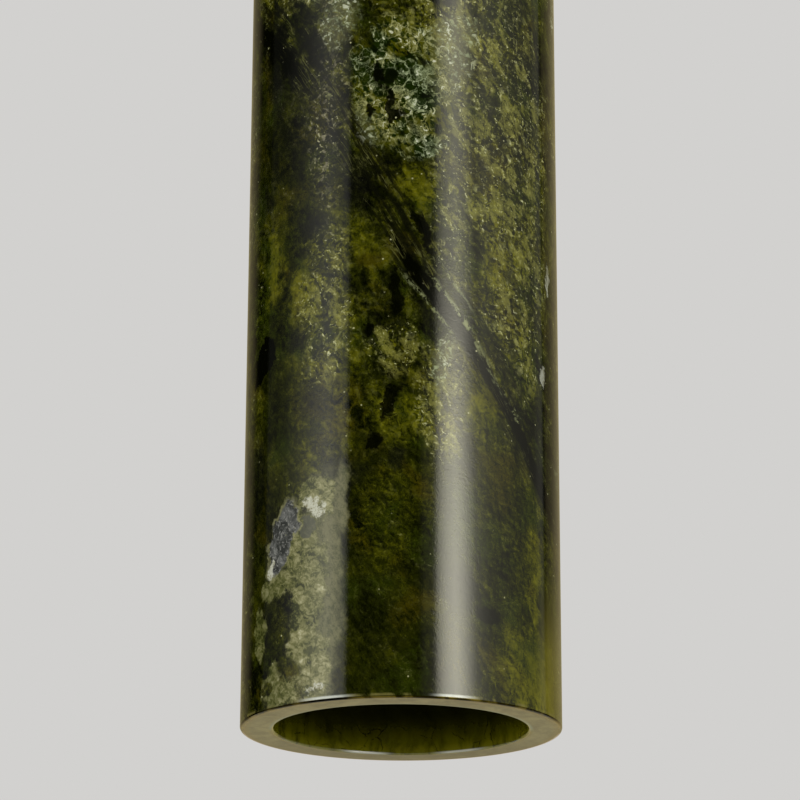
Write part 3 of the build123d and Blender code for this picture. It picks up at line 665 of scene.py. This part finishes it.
def layStrands(f):  # strands and loops everywhere, in loose clusters
    coarse, coarsePick = f.felt(0.25, 0.9, 0.28, 0.3, 3.0)
    f.close, closePick = f.felt(0.5, 1.9, 0.25, 0.4, 8.0)
    bigLoop = f.loops(0.27, 0.20, 0.045, 15.0)[0]
    smallLoop, loopCell, loopPick = f.loops(0.46, 0.20, 0.07, 31.0)
    f.loopCore = f.smooth(loopCell, 0.25, 0.10) * f.smooth(loopPick[2], 0.6, 0.9)
    f.curled = f.largest(bigLoop, smallLoop) * f.smooth(f.grain, 0.42, 0.56)
    f.strand = f.smooth(coarse, 0.54, 0.64) * (0.3 + coarsePick[0] * 0.7) * f.smooth(f.grain, 0.36, 0.5)
    f.thin = f.smooth(f.close, 0.54, 0.66) * (0.2 + closePick[0] * 0.8) * f.smooth(f.fine, 0.36, 0.5)
    cluster = f.smooth(f.mottle * 0.5 + f.second * 0.5, 0.42, 0.6)
    # painted shadow beside the strands, as of their relief
    strandShadow = f.largest(f.smooth(coarse, 0.48, 0.34), f.smooth(f.close, 0.46, 0.34) * 0.6)
    f.paint(strandShadow * (f.spread * 0.6 + cluster * 0.15), "gloom")
    dull = f.smooth(f.around, -11.0, -17.0) * f.smooth(f.height, 112, 124) * (1.0 - f.unseen)
    lines = f.strand * 0.4 + f.thin * 0.2 + f.curled * 0.3 + f.spark * 0.6
    places = cluster * (0.5 - f.calm * 0.37) + f.spread * (0.2 + f.patchy * 0.3) + 0.06
    f.paint(lines * places, f.mix(dull, "fleck", "dullFleck"))
    # the palest strands, brightened further by the painted highlights
    bright = f.smooth(coarse, 0.58, 0.66) * f.smooth(coarsePick[1], 0.3, 0.6) * f.smooth(f.grain, 0.42, 0.52)
    bright = f.clip(bright * 0.6 + f.curled * 0.2 + f.spark)
    tone = f.mix(dull, f.mix(f.smooth(f.hue, 0.42, 0.58), "straw", "gold"), "dullStraw")
    f.paint(bright * f.spread * f.smooth(f.second, 0.32, 0.46), tone)
    # painted highlights on the flaked stone
    f.paint(f.spark * f.spread * f.smooth(f.grain, 0.46, 0.56) * (1.0 - dull * 0.5), "spark")
    # painted shade on the dark sides of the relief
    f.paint(f.smooth(f.chips, -0.07, -0.16) * f.spread * f.patchy * 0.6, "deep")
    field = f.noise(f.moved(f.bedded, (70.0, 20.0, 50.0)), 0.26, 2, 0.5)
    f.paint(f.spread * f.smooth(field, 0.48, 0.38) * 0.6, "gloom")
    ripe = f.smooth(field, 0.51, 0.61) * f.smooth(f.grainTone, 0.38, 0.56)
    f.paint(f.spread * ripe * (1.0 - dull) * 0.5, "field")


def layClouds(f):  # pale clouds of crystals
    cloud = f.ragged(f.zone("clouds"), f.uneven, 0.03, 0.55)
    crystal = f.clip(f.strand + f.thin * 0.6 + f.curled * 0.8 + f.loopCore)
    f.paint(cloud * (0.15 + f.grainTone * 0.3), "cloud")
    f.paint(cloud * crystal * 0.8, "sage")
    f.paint(cloud * f.smooth(crystal, 0.45, 0.9) * f.smooth(f.second, 0.42, 0.55) * 0.85, "cream")


def layMoss(f):  # thin sage crystals round black hollows, on dark green
    f.paint(f.near * 0.55, "fern")
    f.paint(f.near * f.smooth(f.second, 0.48, 0.40) * 0.85, "pit")
    f.paint(f.near * f.smooth(f.hue, 0.46, 0.54) * f.smooth(f.grain, 0.42, 0.56) * 0.7, "leaf")
    edged = f.moved(f.at, f.scaled(f.fineWarp, 1.1))
    edge = f.cells(edged, 0.36, "DISTANCE_TO_EDGE")
    pick = f.split(f.cells(edged, 0.36, out="Color"))
    outline = f.smooth(edge, 0.012, 0.065, 1.0, 0.0) * f.smooth(pick[0] * 0.5 + f.grain * 0.5, 0.44, 0.56)
    filled = f.smooth(pick[1], 0.72, 0.84) * f.smooth(edge, 0.03, 0.12) * f.smooth(f.fine, 0.35, 0.6)
    growth = outline * 0.75 + f.strand * 0.75 + f.thin * 0.12 + filled * 0.5 + f.curled
    growth = growth * f.near * f.smooth(f.second, 0.43, 0.53)
    f.paint(growth, f.mix(f.smooth(f.broad * 0.4 + f.hue * 0.6, 0.44, 0.56), "sage", "straw"))
    f.paint(f.smooth(growth, 0.75, 1.1) * f.smooth(f.grain, 0.46, 0.58) * 0.95, "cream")


def laySeam(f):  # a bundle of dark streaks with a black core and pale chains along its edges
    x = f.x
    share = x / (jadeTube["radius"] * 2) + 0.5
    bow = (f.ramp(seamBow, share) - 0.5) * stone["seamBend"]
    core = f.ramp(seamCore, share)
    offset = f.split(f.leaning)[0] - stone["seamPlace"] - bow + (f.second - 0.5) * 1.6 + (f.grain - 0.5) * 1.2
    away = f.calc("ABSOLUTE", offset + f.smooth(x, -4.0, 2.0) * 1.8)
    aside = f.calc("ABSOLUTE", offset - f.smooth(x, 6.0, -4.0) * 2.5)
    front = f.smooth(f.y, -8, 6, 1.0, 0.35)
    lines = f.noise(f.streaky, 1.0, 2, 0.55, 0.3)
    bundle = f.smooth(aside, 3.0, 8.5, 1.0, 0.0) * front * f.smooth(x, 8.0, 18.0, 1.0, 0.8)
    f.paint(bundle * f.smooth(lines * 0.6 + f.streak * 0.4, 0.42, 0.56) * 0.85, "seam")
    f.paint(f.smooth(away - core * 2.3, 0.5, -0.5) * f.smooth(core, 0.1, 0.6) * front * 0.97, "pit")
    chain = f.band(offset, 0.2, 0.5, 0.4) * f.band(x, 13.0, 6.0, 2.0)
    chain = chain + f.band(offset, 3.4, 0.3, 0.3) * f.band(x, 12.0, 5.0, 2.0) * 0.6
    chain = chain + f.band(offset, -3.8, 0.35, 0.3) * f.band(x, 7.0, 6.0, 3.0) * 0.8
    last = f.band(offset, -0.2, 0.9, 0.6) * f.band(x, 27.0, 7.0, 3.0) * f.smooth(f.second, 0.48, 0.56)
    chain = (chain + last * 0.8) * f.smooth(f.grain, 0.43, 0.53) * f.smooth(f.y, 0.0, -10.0)
    links = f.clip(chain * f.smooth(f.grainTone, 0.42, 0.54))
    f.paint(links * front * 0.65, f.mix(f.fine, "straw", "sage"))
    hair = f.smooth(f.calc("ABSOLUTE", lines - 0.5), 0.0, 0.025, 1.0, 0.0) * f.smooth(f.second, 0.5, 0.6)
    f.paint(bundle * hair * 0.45, "fleck")
    faint = f.smooth(f.noise(f.streaky, 0.16, 3, 0.6, 0.4), 0.56, 0.68) * f.smooth(f.streak, 0.45, 0.6)
    f.paint(faint * 0.45, "deep")


def layBlack(f):  # black spots
    edge = f.gritty + f.uneven * 0.5 + f.plates * 1.2
    f.paint(f.ragged(f.zone("black"), edge, 0.08, 0.36) * 0.95, "pit")
    f.paint(f.smooth(f.patches("ink") + f.gritty * 0.25, 0.10, 0.2), "pit")


def layLichen(f):  # pale lichen-like growth: domed grains with dark outlines and hollows, in a dull haze
    haze = f.ragged(f.patches("haze"), f.uneven * 0.6, 0.03, 0.5)
    f.paint(haze * 0.75, f.mix(f.smooth(f.grainTone, 0.36, 0.6), "hazeDark", "hazePale"))
    amount = f.ragged(f.zone("lichen"), f.uneven + f.gritty, 0.04, 0.36)
    amount = amount * f.smooth(f.patches("holes") + f.gritty * 0.8, 0.10, 0.45, 1.0, 0.0)
    crumb = f.cells(f.bent, 0.75)
    dome = f.smooth(crumb, 0.62, 0.15) * (0.4 + f.split(crumb.other("Color"))[0] * 0.6)
    # painted light: the grains are lighter on the light sides of the painted relief
    litSide = f.smooth(f.chips + f.plates * 0.6, -0.10, 0.14)
    clod = f.smooth(f.cells(f.bent, 0.36), 0.7, 0.2)
    rough = f.smooth(f.hue * 0.5 + f.second * 0.5, 0.42, 0.58)
    level = clod * 0.25 + dome * rough * 0.35 + litSide * 0.4 + (f.second - 0.5) * 1.4 + 0.06
    stops = {0.0: "lichenHollow", 0.22: "lichenDark", 0.5: "lichenBody", 0.8: "lichenPale", 1.0: "lichenTip"}
    tone = f.mix(f.smooth(f.around, -28.0, -36.0) * 0.4, f.ramp(stops, level), "lichenSide")
    f.paint(amount * 0.88, tone)


def layInclusions(f):  # slate with its pale outline, cream chips, a grey lens and bright specks
    slate = f.patches("slate") + (f.grainTone - 0.5) * 0.25
    f.paint(f.smooth(slate, 0.10, 0.2) * f.smooth(f.second, 0.42, 0.56) * 0.6, "slateOutline")
    tone = f.mix(f.smooth(f.streak * 0.4 + f.grain * 0.6, 0.42, 0.64), "slateDark", "slatePale")
    f.paint(f.smooth(slate, 0.18, 0.3), f.mix(f.smooth(f.close, 0.56, 0.66) * 0.6, tone, "slateVein"))
    f.cream = f.patches("cream") + (f.grainTone - 0.5) * 1.2
    tone = f.mix(f.smooth(f.grainTone, 0.42, 0.56), "chipDark", "chipPale")
    tone = f.mix(f.smooth(f.around, 36.0, 40.0) * 0.45, tone, "chipSide")
    f.paint(f.smooth(f.cream, 0.26, 0.56) * 0.85, tone)
    f.paint(f.smooth(f.patches("lens"), 0.15, 0.4) * 0.85, f.mix(f.grain, "lensDark", "lensPale"))
    speck = f.cells(f.at, 0.8)
    bright = f.smooth(speck, 0.10, 0.24, 1.0, 0.0) * f.smooth(f.split(speck.other("Color"))[2], 0.86, 0.96)
    f.paint(bright * f.smooth(f.second - f.calm * 0.12, 0.44, 0.58) * 0.85, "speck")


def layCracks(f):
    place = f.moved(f.stretched(f.leaning, (1, 0.6, 0.4)), f.scaled(f.warp, 0.5))
    crack = f.cells(place, 0.07, "DISTANCE_TO_EDGE")
    f.paint(f.smooth(crack, 0.004, 0.012, 1.0, 0.0) * f.smooth(f.broad, 0.45, 0.6) * f.unseen * 0.5, "pit")


def layEdge(f):  # painted light at the lower edge: a glow as of light coming through the stone, and the pale line above the arris, a painted glow with painted highlights on it
    glow = f.smooth(f.height, 8.0, 0.5) * f.band(f.around, 38.0, 9.0, 8.0)
    f.paint(glow * f.smooth(f.second * 0.5 + f.grain * 0.5, 0.44, 0.56) * 0.55, "edgeGlow")
    side = f.smooth(f.around, 38.0, 45.0) * f.smooth(f.around, 62.0, 52.0)
    f.paint(side * f.smooth(f.height, 38.0, 10.0) * 0.6, "sideGlow")
    # the painted glow line just above the arris
    line = f.smooth(f.height, 1.3, 0.85) * f.smooth(f.height, 0.42, 0.6) * (f.reach > 39.0)
    f.paint(line * f.smooth(f.second, 0.44, 0.6) * 0.6, "edgeLine")
    # where the painted highlights fall on the line
    highlightPlaces = f.band(f.around, -19.0, 5.5, 3.5) + f.band(f.around, 13.0, 4.0, 3.0)
    f.paint(line * highlightPlaces * (0.65 + f.grain * 0.5), "edgeShine")


def layBore(f):  # yellow at its foot, dark above: painted shade deep in the bore, a painted glow at its foot as of light coming through, and painted highlight lines on the far arris
    strayed = f.scaled(f.warp, 0.5)
    streaked = f.noise(f.moved(f.stretched(f.at, (1, 1, 0.35)), strayed), 0.3, 4, 0.6)
    # painted glow, strongest at the foot of the bore
    shine = f.smooth(f.height, 13.0, -1.0) ** 1.9 * f.smooth(streaked, 0.12, 0.7) * 1.25
    tone = f.mix(f.smooth(f.mottle * 0.6 + f.grainTone * 0.4, 0.35, 0.65), "boreDark", "borePale")
    tone = f.mix(shine, tone, "boreShine")
    tone = f.mix(f.smooth(f.height, 3.0, 0.3) * f.smooth(streaked, 0.3, 0.6) * 0.75, tone, "boreFoot")
    crack = f.cells(f.moved(f.at, strayed), 0.13, "DISTANCE_TO_EDGE")
    tone = f.mix(f.smooth(crack, 0.003, 0.022, 0.75, 0.0) * f.smooth(f.second, 0.46, 0.54), tone, "pit")
    # painted highlight lines on the far arris
    line = f.band(f.x, -9.0, 5.0, 3.0) + f.band(f.x, 15.0, 5.0, 3.0) * 0.8
    tone = f.mix(line * f.band(f.height, 0.35, 0.25, 0.15) * (f.y > 0), tone, "boreLine")
    f.paint(f.smooth(f.reach, 32.6, 33.2, 1.0, 0.0), tone)


def layRim(f):  # the dull ground rim with painted highlight lines along its edges, and the polished arris round its near half painted as a dark line of shade
    nearHalf = f.smooth(f.y, 2.0, -4.0)
    # painted shade: a dark line on the arris of the near half only
    f.arris = f.smooth(f.height, 0.5, 0.4) * f.smooth(f.reach, 39.0, 39.25) * nearHalf
    f.rim = f.smooth(f.height, 0.03, 0.10, 1.0, 0.0) * f.smooth(f.reach, 31.9, 32.3) * (1.0 - f.arris)
    tone = f.mix(f.smooth(f.grainTone * 0.4 + f.second * 0.6, 0.4, 0.6), "rimDark", "rimPale")
    tone = f.mix(f.smooth(f.reach, 37.0, 39.6) * 0.7, tone, "rimOuter")
    tone = f.mix(f.smooth(f.y, 4.0, 30.0) * 0.6, tone, "rimFar")
    # a painted highlight line along the inner edge on the near half
    inner = f.mix(nearHalf, "rimInnerFar", "rimInnerNear")
    tone = f.mix(f.smooth(f.reach, 33.2, 32.3) * 0.75, tone, inner)
    # a painted highlight line along the outer edge on the far half
    tone = f.mix(f.smooth(f.reach, 39.1, 39.4) * f.smooth(f.y, 0.0, 8.0) * 0.8, tone, "rimFarLine")
    f.paint(f.rim * 0.95, tone)
    # the painted dark line's tones, black where it is darkest
    tone = f.mix(f.smooth(f.second, 0.4, 0.6), "arrisDark", "arrisPale")
    f.paint(f.arris, f.mix(f.band(f.around, -19.0, 7.0, 4.0), tone, "pit"))


def jadeFinish():
    f = Stone("polishedJade")
    stoneFields(f)
    for lay in (
        layGround, layFlakes, layStrands, layClouds, layMoss, laySeam, layBlack, layLichen,
        layInclusions, layCracks, layEdge, layBore, layRim,
    ):
        lay(f)
    dulled = f.smooth(f.cream, 0.2, 0.5) * 0.12 + f.rim * stone["rimRoughness"]
    return f.finish({
        "Base Color": f.colour,
        "Roughness": stone["polish"] + f.fine * 0.03 + dulled,
        # the painted dark line on the arris is metallic too, so that its dark colour also darkens its
        # reflection
        "Metallic": f.arris,
        "Normal": f.bump(f.fine * 0.5 + f.grain * 0.5 + f.chips * 1.2, 0.03, 0.3),
        "IOR": stone["refraction"],
    })


def jadeOutline():
    j = jadeTube
    length, drop = j["top"] - j["bottom"], j["lipBottom"] - j["bottom"]
    root = j["rootRadius"]
    points = arc((j["bore"] + j["boreArris"], j["bottom"] + j["boreArris"]), j["boreArris"], 180, 270, 5)
    points += arc((j["radius"] - j["arris"], j["bottom"] + j["arris"]), j["arris"], 270, 360, 5)
    points += [(j["radius"], j["bottom"] + length * part / 24) for part in range(1, 24)]
    points += arc((j["radius"] - j["arris"], j["top"] - j["arris"]), j["arris"], 0, 90, 5)
    points += arc((j["lipBore"] + j["arris"], j["top"] - j["arris"]), j["arris"], 90, 180, 3)
    points += [(j["lipBore"], j["lipBottom"])]
    points += arc((j["bore"] - root, j["lipBottom"] - root), root, 90, 0, 6)
    points += [(j["bore"], j["lipBottom"] - drop * part / 12) for part in range(1, 12)]
    return points


stoneMaterial = jadeFinish()
tube = turned("jadeTube", jadeOutline(), jadeTube["segments"], [stoneMaterial])
register(tube, "pendant", "jade_tube")
print("jade tube built")


# Threads, rolled or cut into a turned piece

def threadTree():
    group = bpy.data.node_groups.new("helicalThread", "GeometryNodeTree")
    face = group.interface
    face.new_socket("Geometry", in_out="INPUT", socket_type="NodeSocketGeometry")
    for name in ("Pitch", "Depth", "Low", "High", "Fade", "Sharpness", "Least Radius"):
        face.new_socket(name, in_out="INPUT", socket_type="NodeSocketFloat")
    face.new_socket("Material", in_out="INPUT", socket_type="NodeSocketMaterial")
    face.new_socket("Geometry", in_out="OUTPUT", socket_type="NodeSocketGeometry")
    tree = Tree(group)
    given = tree.add("NodeGroupInput")
    x, y, z = tree.split(tree.add("GeometryNodeInputPosition"))
    reach = tree.calc("SQRT", x * x + y * y)
    phase = z / given.other("Pitch") - tree.calc("ARCTAN2", y, x) / (2 * math.pi)
    rounded = 0.5 - 0.5 * tree.calc("COSINE", phase * (2 * math.pi))
    pointed = tree.calc("ABSOLUTE", tree.calc("FRACT", phase) * 2 - 1)
    wave = rounded + (pointed - rounded) * given.other("Sharpness")
    fade = given.other("Fade")
    rise = tree.smooth((z - given.other("Low")) / fade, 0, 1)
    fall = tree.smooth((given.other("High") - z) / fade, 0, 1)
    shift = wave * rise * fall * given.other("Depth") * (reach > given.other("Least Radius"))
    offset = tree.scaled(tree.join(x / reach, y / reach, 0.0), shift)
    moved = tree.add("GeometryNodeSetPosition", None, {"Geometry": given, "Offset": offset})
    solid = tree.add("GeometryNodeRealizeInstances", None, [moved])
    paint = {"Geometry": solid, "Material": given.other("Material")}
    tree.add("NodeGroupOutput", None, [tree.add("GeometryNodeSetMaterial", None, paint)])
    return tree


def applyTree(piece, tree, inputs):
    modifier = piece.modifiers.new("made", "NODES")
    modifier.node_group = tree.made
    for socket in tree.made.interface.items_tree:
        if socket.in_out == "INPUT" and socket.name in inputs:
            modifier[socket.identifier] = inputs[socket.name]
    evaluated = piece.evaluated_get(bpy.context.evaluated_depsgraph_get())
    mesh = bpy.data.meshes.new_from_object(evaluated)
    piece.modifiers.remove(modifier)
    piece.data = mesh


def steps(start, end, stride):
    count = max(1, round(abs(end - start) / stride))
    return [start + (end - start) * part / count for part in range(count + 1)]


# Finishes of the metal, glass and soft pieces: the two ends of each colour, and its flaws

brass = {
    "brushedBrass": {
        "light": shade(206, 172, 104), "dark": shade(176, 140, 76),
        "shine": 0.24, "stroke": 7.0, "coat": 0.35,
    },
    "stampedBrass": {
        "light": shade(222, 192, 122), "dark": shade(196, 160, 90),
        "shine": 0.16, "stroke": 2.0, "coat": 0.0,
    },
}
tones = {
    "zinc": (shade(186, 190, 194), shade(160, 164, 170)),
    "zincTarnish": shade(178, 170, 146),
    "rubber": (shade(30, 30, 31), shade(52, 51, 50)),
    "nylon": (shade(226, 222, 208), shade(206, 200, 182)),
    "lacquer": (shade(16, 16, 16), shade(30, 29, 28)),
    "ceramic": (shade(238, 234, 224), shade(216, 210, 196)),
    "ceramicSpeck": shade(150, 138, 118),
    "vitreous": (shade(14, 14, 18), shade(34, 32, 38)),
    "nickel": (shade(214, 212, 206), shade(190, 186, 178)),
    "satinGlass": (shade(242, 241, 236), shade(226, 224, 216)),
}


def brassFinish(name):
    c = brass[name]
    f = Finish(name)
    point = f.point()
    x, y, z = f.split(point)
    reach = f.calc("SQRT", x * x + y * y)
    turning = f.noise(f.join(reach * c["stroke"], z * c["stroke"], 0.0), 1.0, 3, 0.6)
    cloud = f.noise(point, 0.12, 3, 0.55)
    handled = f.noise(point, 0.7, 4, 0.6)
    tone = f.mix(f.smooth(cloud, 0.35, 0.7), c["light"], c["dark"])
    return f.finish({
        "Base Color": f.mix(turning * 0.35, tone, c["dark"]),
        "Metallic": 1.0,
        "Roughness": c["shine"] + turning * 0.10 + f.smooth(handled, 0.45, 0.75) * 0.08,
        "Coat Weight": c["coat"],
        "Coat Roughness": 0.12,
        "Normal": f.bump(turning, 0.012, 0.5),
    })


def steelFinish():
    f = Finish("zincPlated")
    point = f.point()
    spangle = f.cells(f.moved(point, f.noise(point, 0.8, 2, out="Color")), 0.55, out="Color")
    cloud = f.noise(point, 0.2, 3)
    tone = f.mix(f.split(spangle)[0] * 0.5, *tones["zinc"])
    tone = f.mix(f.smooth(cloud, 0.5, 0.75) * 0.3, tone, tones["zincTarnish"])
    bump = f.bump(f.noise(point, 4.0, 3), 0.008, 0.4)
    return f.finish({"Base Color": tone, "Metallic": 1.0, "Roughness": 0.26 + cloud * 0.16, "Normal": bump})


def rubberFinish():
    f = Finish("gasketRubber")
    point = f.point()
    bloom = f.noise(point, 0.35, 4, 0.6)
    tone = f.mix(f.smooth(bloom, 0.45, 0.75), *tones["rubber"])
    bump = f.bump(f.noise(point, 3.0, 3), 0.02, 0.5)
    return f.finish({
        "Base Color": tone,
        "Roughness": 0.72 + bloom * 0.16,
        "Specular IOR Level": 0.3,
        "Normal": bump,
    })


def nylonFinish():
    f = Finish("naturalNylon")
    flow = f.noise(f.stretched(f.point(), (1, 1, 0.3)), 0.6, 3)
    return f.finish({
        "Base Color": f.mix(flow, *tones["nylon"]),
        "Roughness": 0.38 + flow * 0.1,
        "Subsurface Weight": 0.25,
        "Subsurface Radius": (1, 0.8, 0.6),
        "Subsurface Scale": millimetre,
    })


def lacquerFinish():
    f = Finish("blackLacquer")
    point = f.point()
    peel = f.noise(point, 0.9, 3, 0.55)
    dust = f.noise(point, 6.0, 2)
    tone = f.mix(peel * 0.6, *tones["lacquer"])
    bump = f.bump(peel * 0.7 + dust * 0.3, 0.03, 0.35)
    return f.finish({
        "Base Color": tone,
        "Roughness": 0.30 + dust * 0.1,
        "Coat Weight": 0.3,
        "Coat Roughness": 0.2,
        "Normal": bump,
    })


def ceramicFinish():
    f = Finish("whiteCeramic")
    point = f.point()
    cloud = f.noise(point, 0.3, 4, 0.6)
    tone = f.mix(cloud, *tones["ceramic"])
    tone = f.mix(f.smooth(f.cells(point, 0.5), 0.07, 0.14, 0.5, 0.0), tone, tones["ceramicSpeck"])
    bump = f.bump(f.noise(point, 2.4, 4, 0.6), 0.03, 0.5)
    return f.finish({"Base Color": tone, "Roughness": 0.55 + cloud * 0.15, "Normal": bump})


def vitreousFinish():
    f = Finish("vitreousBlack")
    swirl = f.noise(f.point(), 0.5, 3, 0.5, 1.0)
    tone = f.mix(swirl, *tones["vitreous"])
    bump = f.bump(swirl, 0.04, 0.4)
    return f.finish({"Base Color": tone, "Roughness": 0.08 + swirl * 0.08, "Normal": bump})


def nickelFinish():
    f = Finish("nickelPlating")
    point = f.point()
    x, y, z = f.split(point)
    drawn = f.noise(f.join(f.calc("ARCTAN2", y, x) * 2, z * 5, 0.0), 1.0, 3)
    tone = f.mix(f.noise(point, 0.3, 3), *tones["nickel"])
    bump = f.bump(drawn, 0.008, 0.4)
    return f.finish({"Base Color": tone, "Metallic": 1.0, "Roughness": 0.2 + drawn * 0.14, "Normal": bump})


def satinGlassFinish():
    f = Finish("satinGlass")
    point = f.point()
    etch = f.noise(point, 1.6, 4, 0.65)
    return f.finish({
        "Base Color": f.mix(f.noise(point, 0.04, 3) * 0.5 + etch * 0.3, *tones["satinGlass"]),
        "Roughness": 0.34 + etch * 0.12,
        "Normal": f.bump(etch, 0.01, 0.3),
        "Subsurface Weight": 0.35,
        "Subsurface Radius": (1, 0.95, 0.9),
        "Subsurface Scale": 3 * millimetre,
    })


finishes = {
    "brushed_brass": brassFinish("brushedBrass"),
    "contact_brass": brassFinish("stampedBrass"),
    "plated_steel": steelFinish(),
    "gasket_rubber": rubberFinish(),
    "collet_nylon": nylonFinish(),
    "holder_black": lacquerFinish(),
    "block_ceramic": ceramicFinish(),
    "insulator_glass": vitreousFinish(),
    "lamp_plating": nickelFinish(),
    "satin_glass": satinGlassFinish(),
    "jade": stoneMaterial,
}
for part in frame["record"]["subparts"]:
    for socket in nodes[part["node"]].material_slots:
        socket.material = finishes[part["material_slot"]]
print("finishes made")


# Rod, liner, lamp cap and lamp glass, with their real threads and curves, in millimetres

hollowRod = {
    "radius": 5.0, "bore": 3.9, "top": -12.4, "bottom": -64.5, "chamfer": 0.4, "pitch": 1.0,
    "depth": 0.5, "segments": 48,
}
liner = {
    "inner": 13.5, "wall": 0.3, "mouth": 7.0, "top": -93.9, "bottom": -116.5, "pitch": 3.63,
    "depth": 0.3, "fade": 1.5, "segments": 120,
}
lampCap = {
    "radius": 13.1, "wall": 0.5, "top": -104.4, "bottom": -126.4, "threadEnd": -117.6, "brim": 0.8,
    "pitch": 3.63, "depth": 0.48, "fade": 1.2, "segments": 120,
}
lampGlass = {
    "radius": 15.0, "neck": 12.45, "wall": 1.0, "top": -118.4, "shoulderTop": -127.9,
    "shoulderBottom": -131.1, "tip": -284.2, "segments": 128,
}
thread = threadTree()


def threaded(piece, slot, pitch, depth, low, high, fade, sharpness, leastRadius):
    names = ("Pitch", "Depth", "Low", "High", "Fade", "Least Radius")
    lengths = (pitch, depth, low, high, fade, leastRadius)
    inputs = {name: length * millimetre for name, length in zip(names, lengths)}
    applyTree(piece, thread, {**inputs, "Sharpness": sharpness, "Material": finishes[slot]})


def makeRod():
    r = hollowRod
    waist = r["radius"] - r["chamfer"]
    heights = steps(r["bottom"] + r["chamfer"], r["top"] - r["chamfer"], r["pitch"] / 6)
    outline = [(r["bore"], r["bottom"]), (waist, r["bottom"])]
    outline += [(r["radius"], height) for height in heights]
    outline += [(waist, r["top"]), (r["bore"], r["top"])]
    piece = turned("hollowRod", outline, r["segments"])
    middle = (r["radius"] + r["bore"]) / 2
    ends = (r["bottom"], r["top"], r["pitch"])
    threaded(piece, "plated_steel", r["pitch"], -r["depth"], *ends, 1.0, middle)
    register(piece, "pendant", "hollow_rod")


def makeLiner():
    r = liner
    outer = r["inner"] + r["wall"]
    heights = steps(r["bottom"], r["top"] - r["wall"], r["pitch"] / 12)
    outline = [(outer, height) for height in heights] + [(outer - 0.1, r["top"])]
    outline += [(r["mouth"], r["top"]), (r["mouth"], r["top"] - r["wall"])]
    outline += [(r["inner"], height) for height in reversed(heights)]
    piece = turned("screwShell", outline, r["segments"])
    ends = (r["bottom"] + 0.6, r["top"] - 2, r["fade"])
    threaded(piece, "contact_brass", r["pitch"], r["depth"], *ends, 0.0, r["inner"] - 1)
    register(piece, "pendant", "screw_shell")


def makeLampCap():
    r = lampCap
    inner = r["radius"] - r["wall"]
    brim = r["radius"] + r["brim"]
    heights = steps(r["bottom"] + r["brim"], r["top"] - r["wall"], r["pitch"] / 12)
    outline = [(inner, r["bottom"]), (brim - 0.15, r["bottom"]), (brim, r["bottom"] + 0.15)]
    outline += [(r["radius"] + 0.2, r["bottom"] + r["brim"] - 0.1)]
    outline += [(r["radius"], height) for height in heights[1:]]
    outline += arc((inner, r["top"] - r["wall"]), r["wall"], 15, 90, 5)
    outline += [(inner - r["wall"], r["top"]), (inner - r["wall"], r["top"] - 0.3)]
    outline += [(inner, height) for height in reversed(heights[:-1])]
    piece = turned("lampCap", outline, r["segments"])
    ends = (r["threadEnd"], r["top"] - 0.6, r["fade"])
    threaded(piece, "lamp_plating", r["pitch"], -r["depth"], *ends, 0.0, inner - 0.1)
    register(piece, "lamp", "lamp_cap")


def makeLampGlass():
    r = lampGlass

    def wall(inset):
        wide, narrow = r["radius"] - inset, r["neck"] - inset
        centre = r["tip"] + r["radius"]
        points = arc((0, centre), wide, -90, 0, 18)
        points += [(wide, height) for height in steps(centre, r["shoulderBottom"], 14)[1:]]
        drop = r["shoulderTop"] - r["shoulderBottom"]
        for part in range(1, 9):
            share = part / 8
            eased = share * share * (3 - 2 * share)
            points.append((wide + (narrow - wide) * eased, r["shoulderBottom"] + drop * share))
        return points + [(narrow, r["top"])]

    outline = wall(0) + list(reversed(wall(r["wall"])))
    piece = turned("lampGlass", outline, r["segments"], [finishes["satin_glass"]])
    register(piece, "lamp", "lamp_envelope")


makeRod()
makeLiner()
makeLampCap()
makeLampGlass()
print("threads and lamp built")
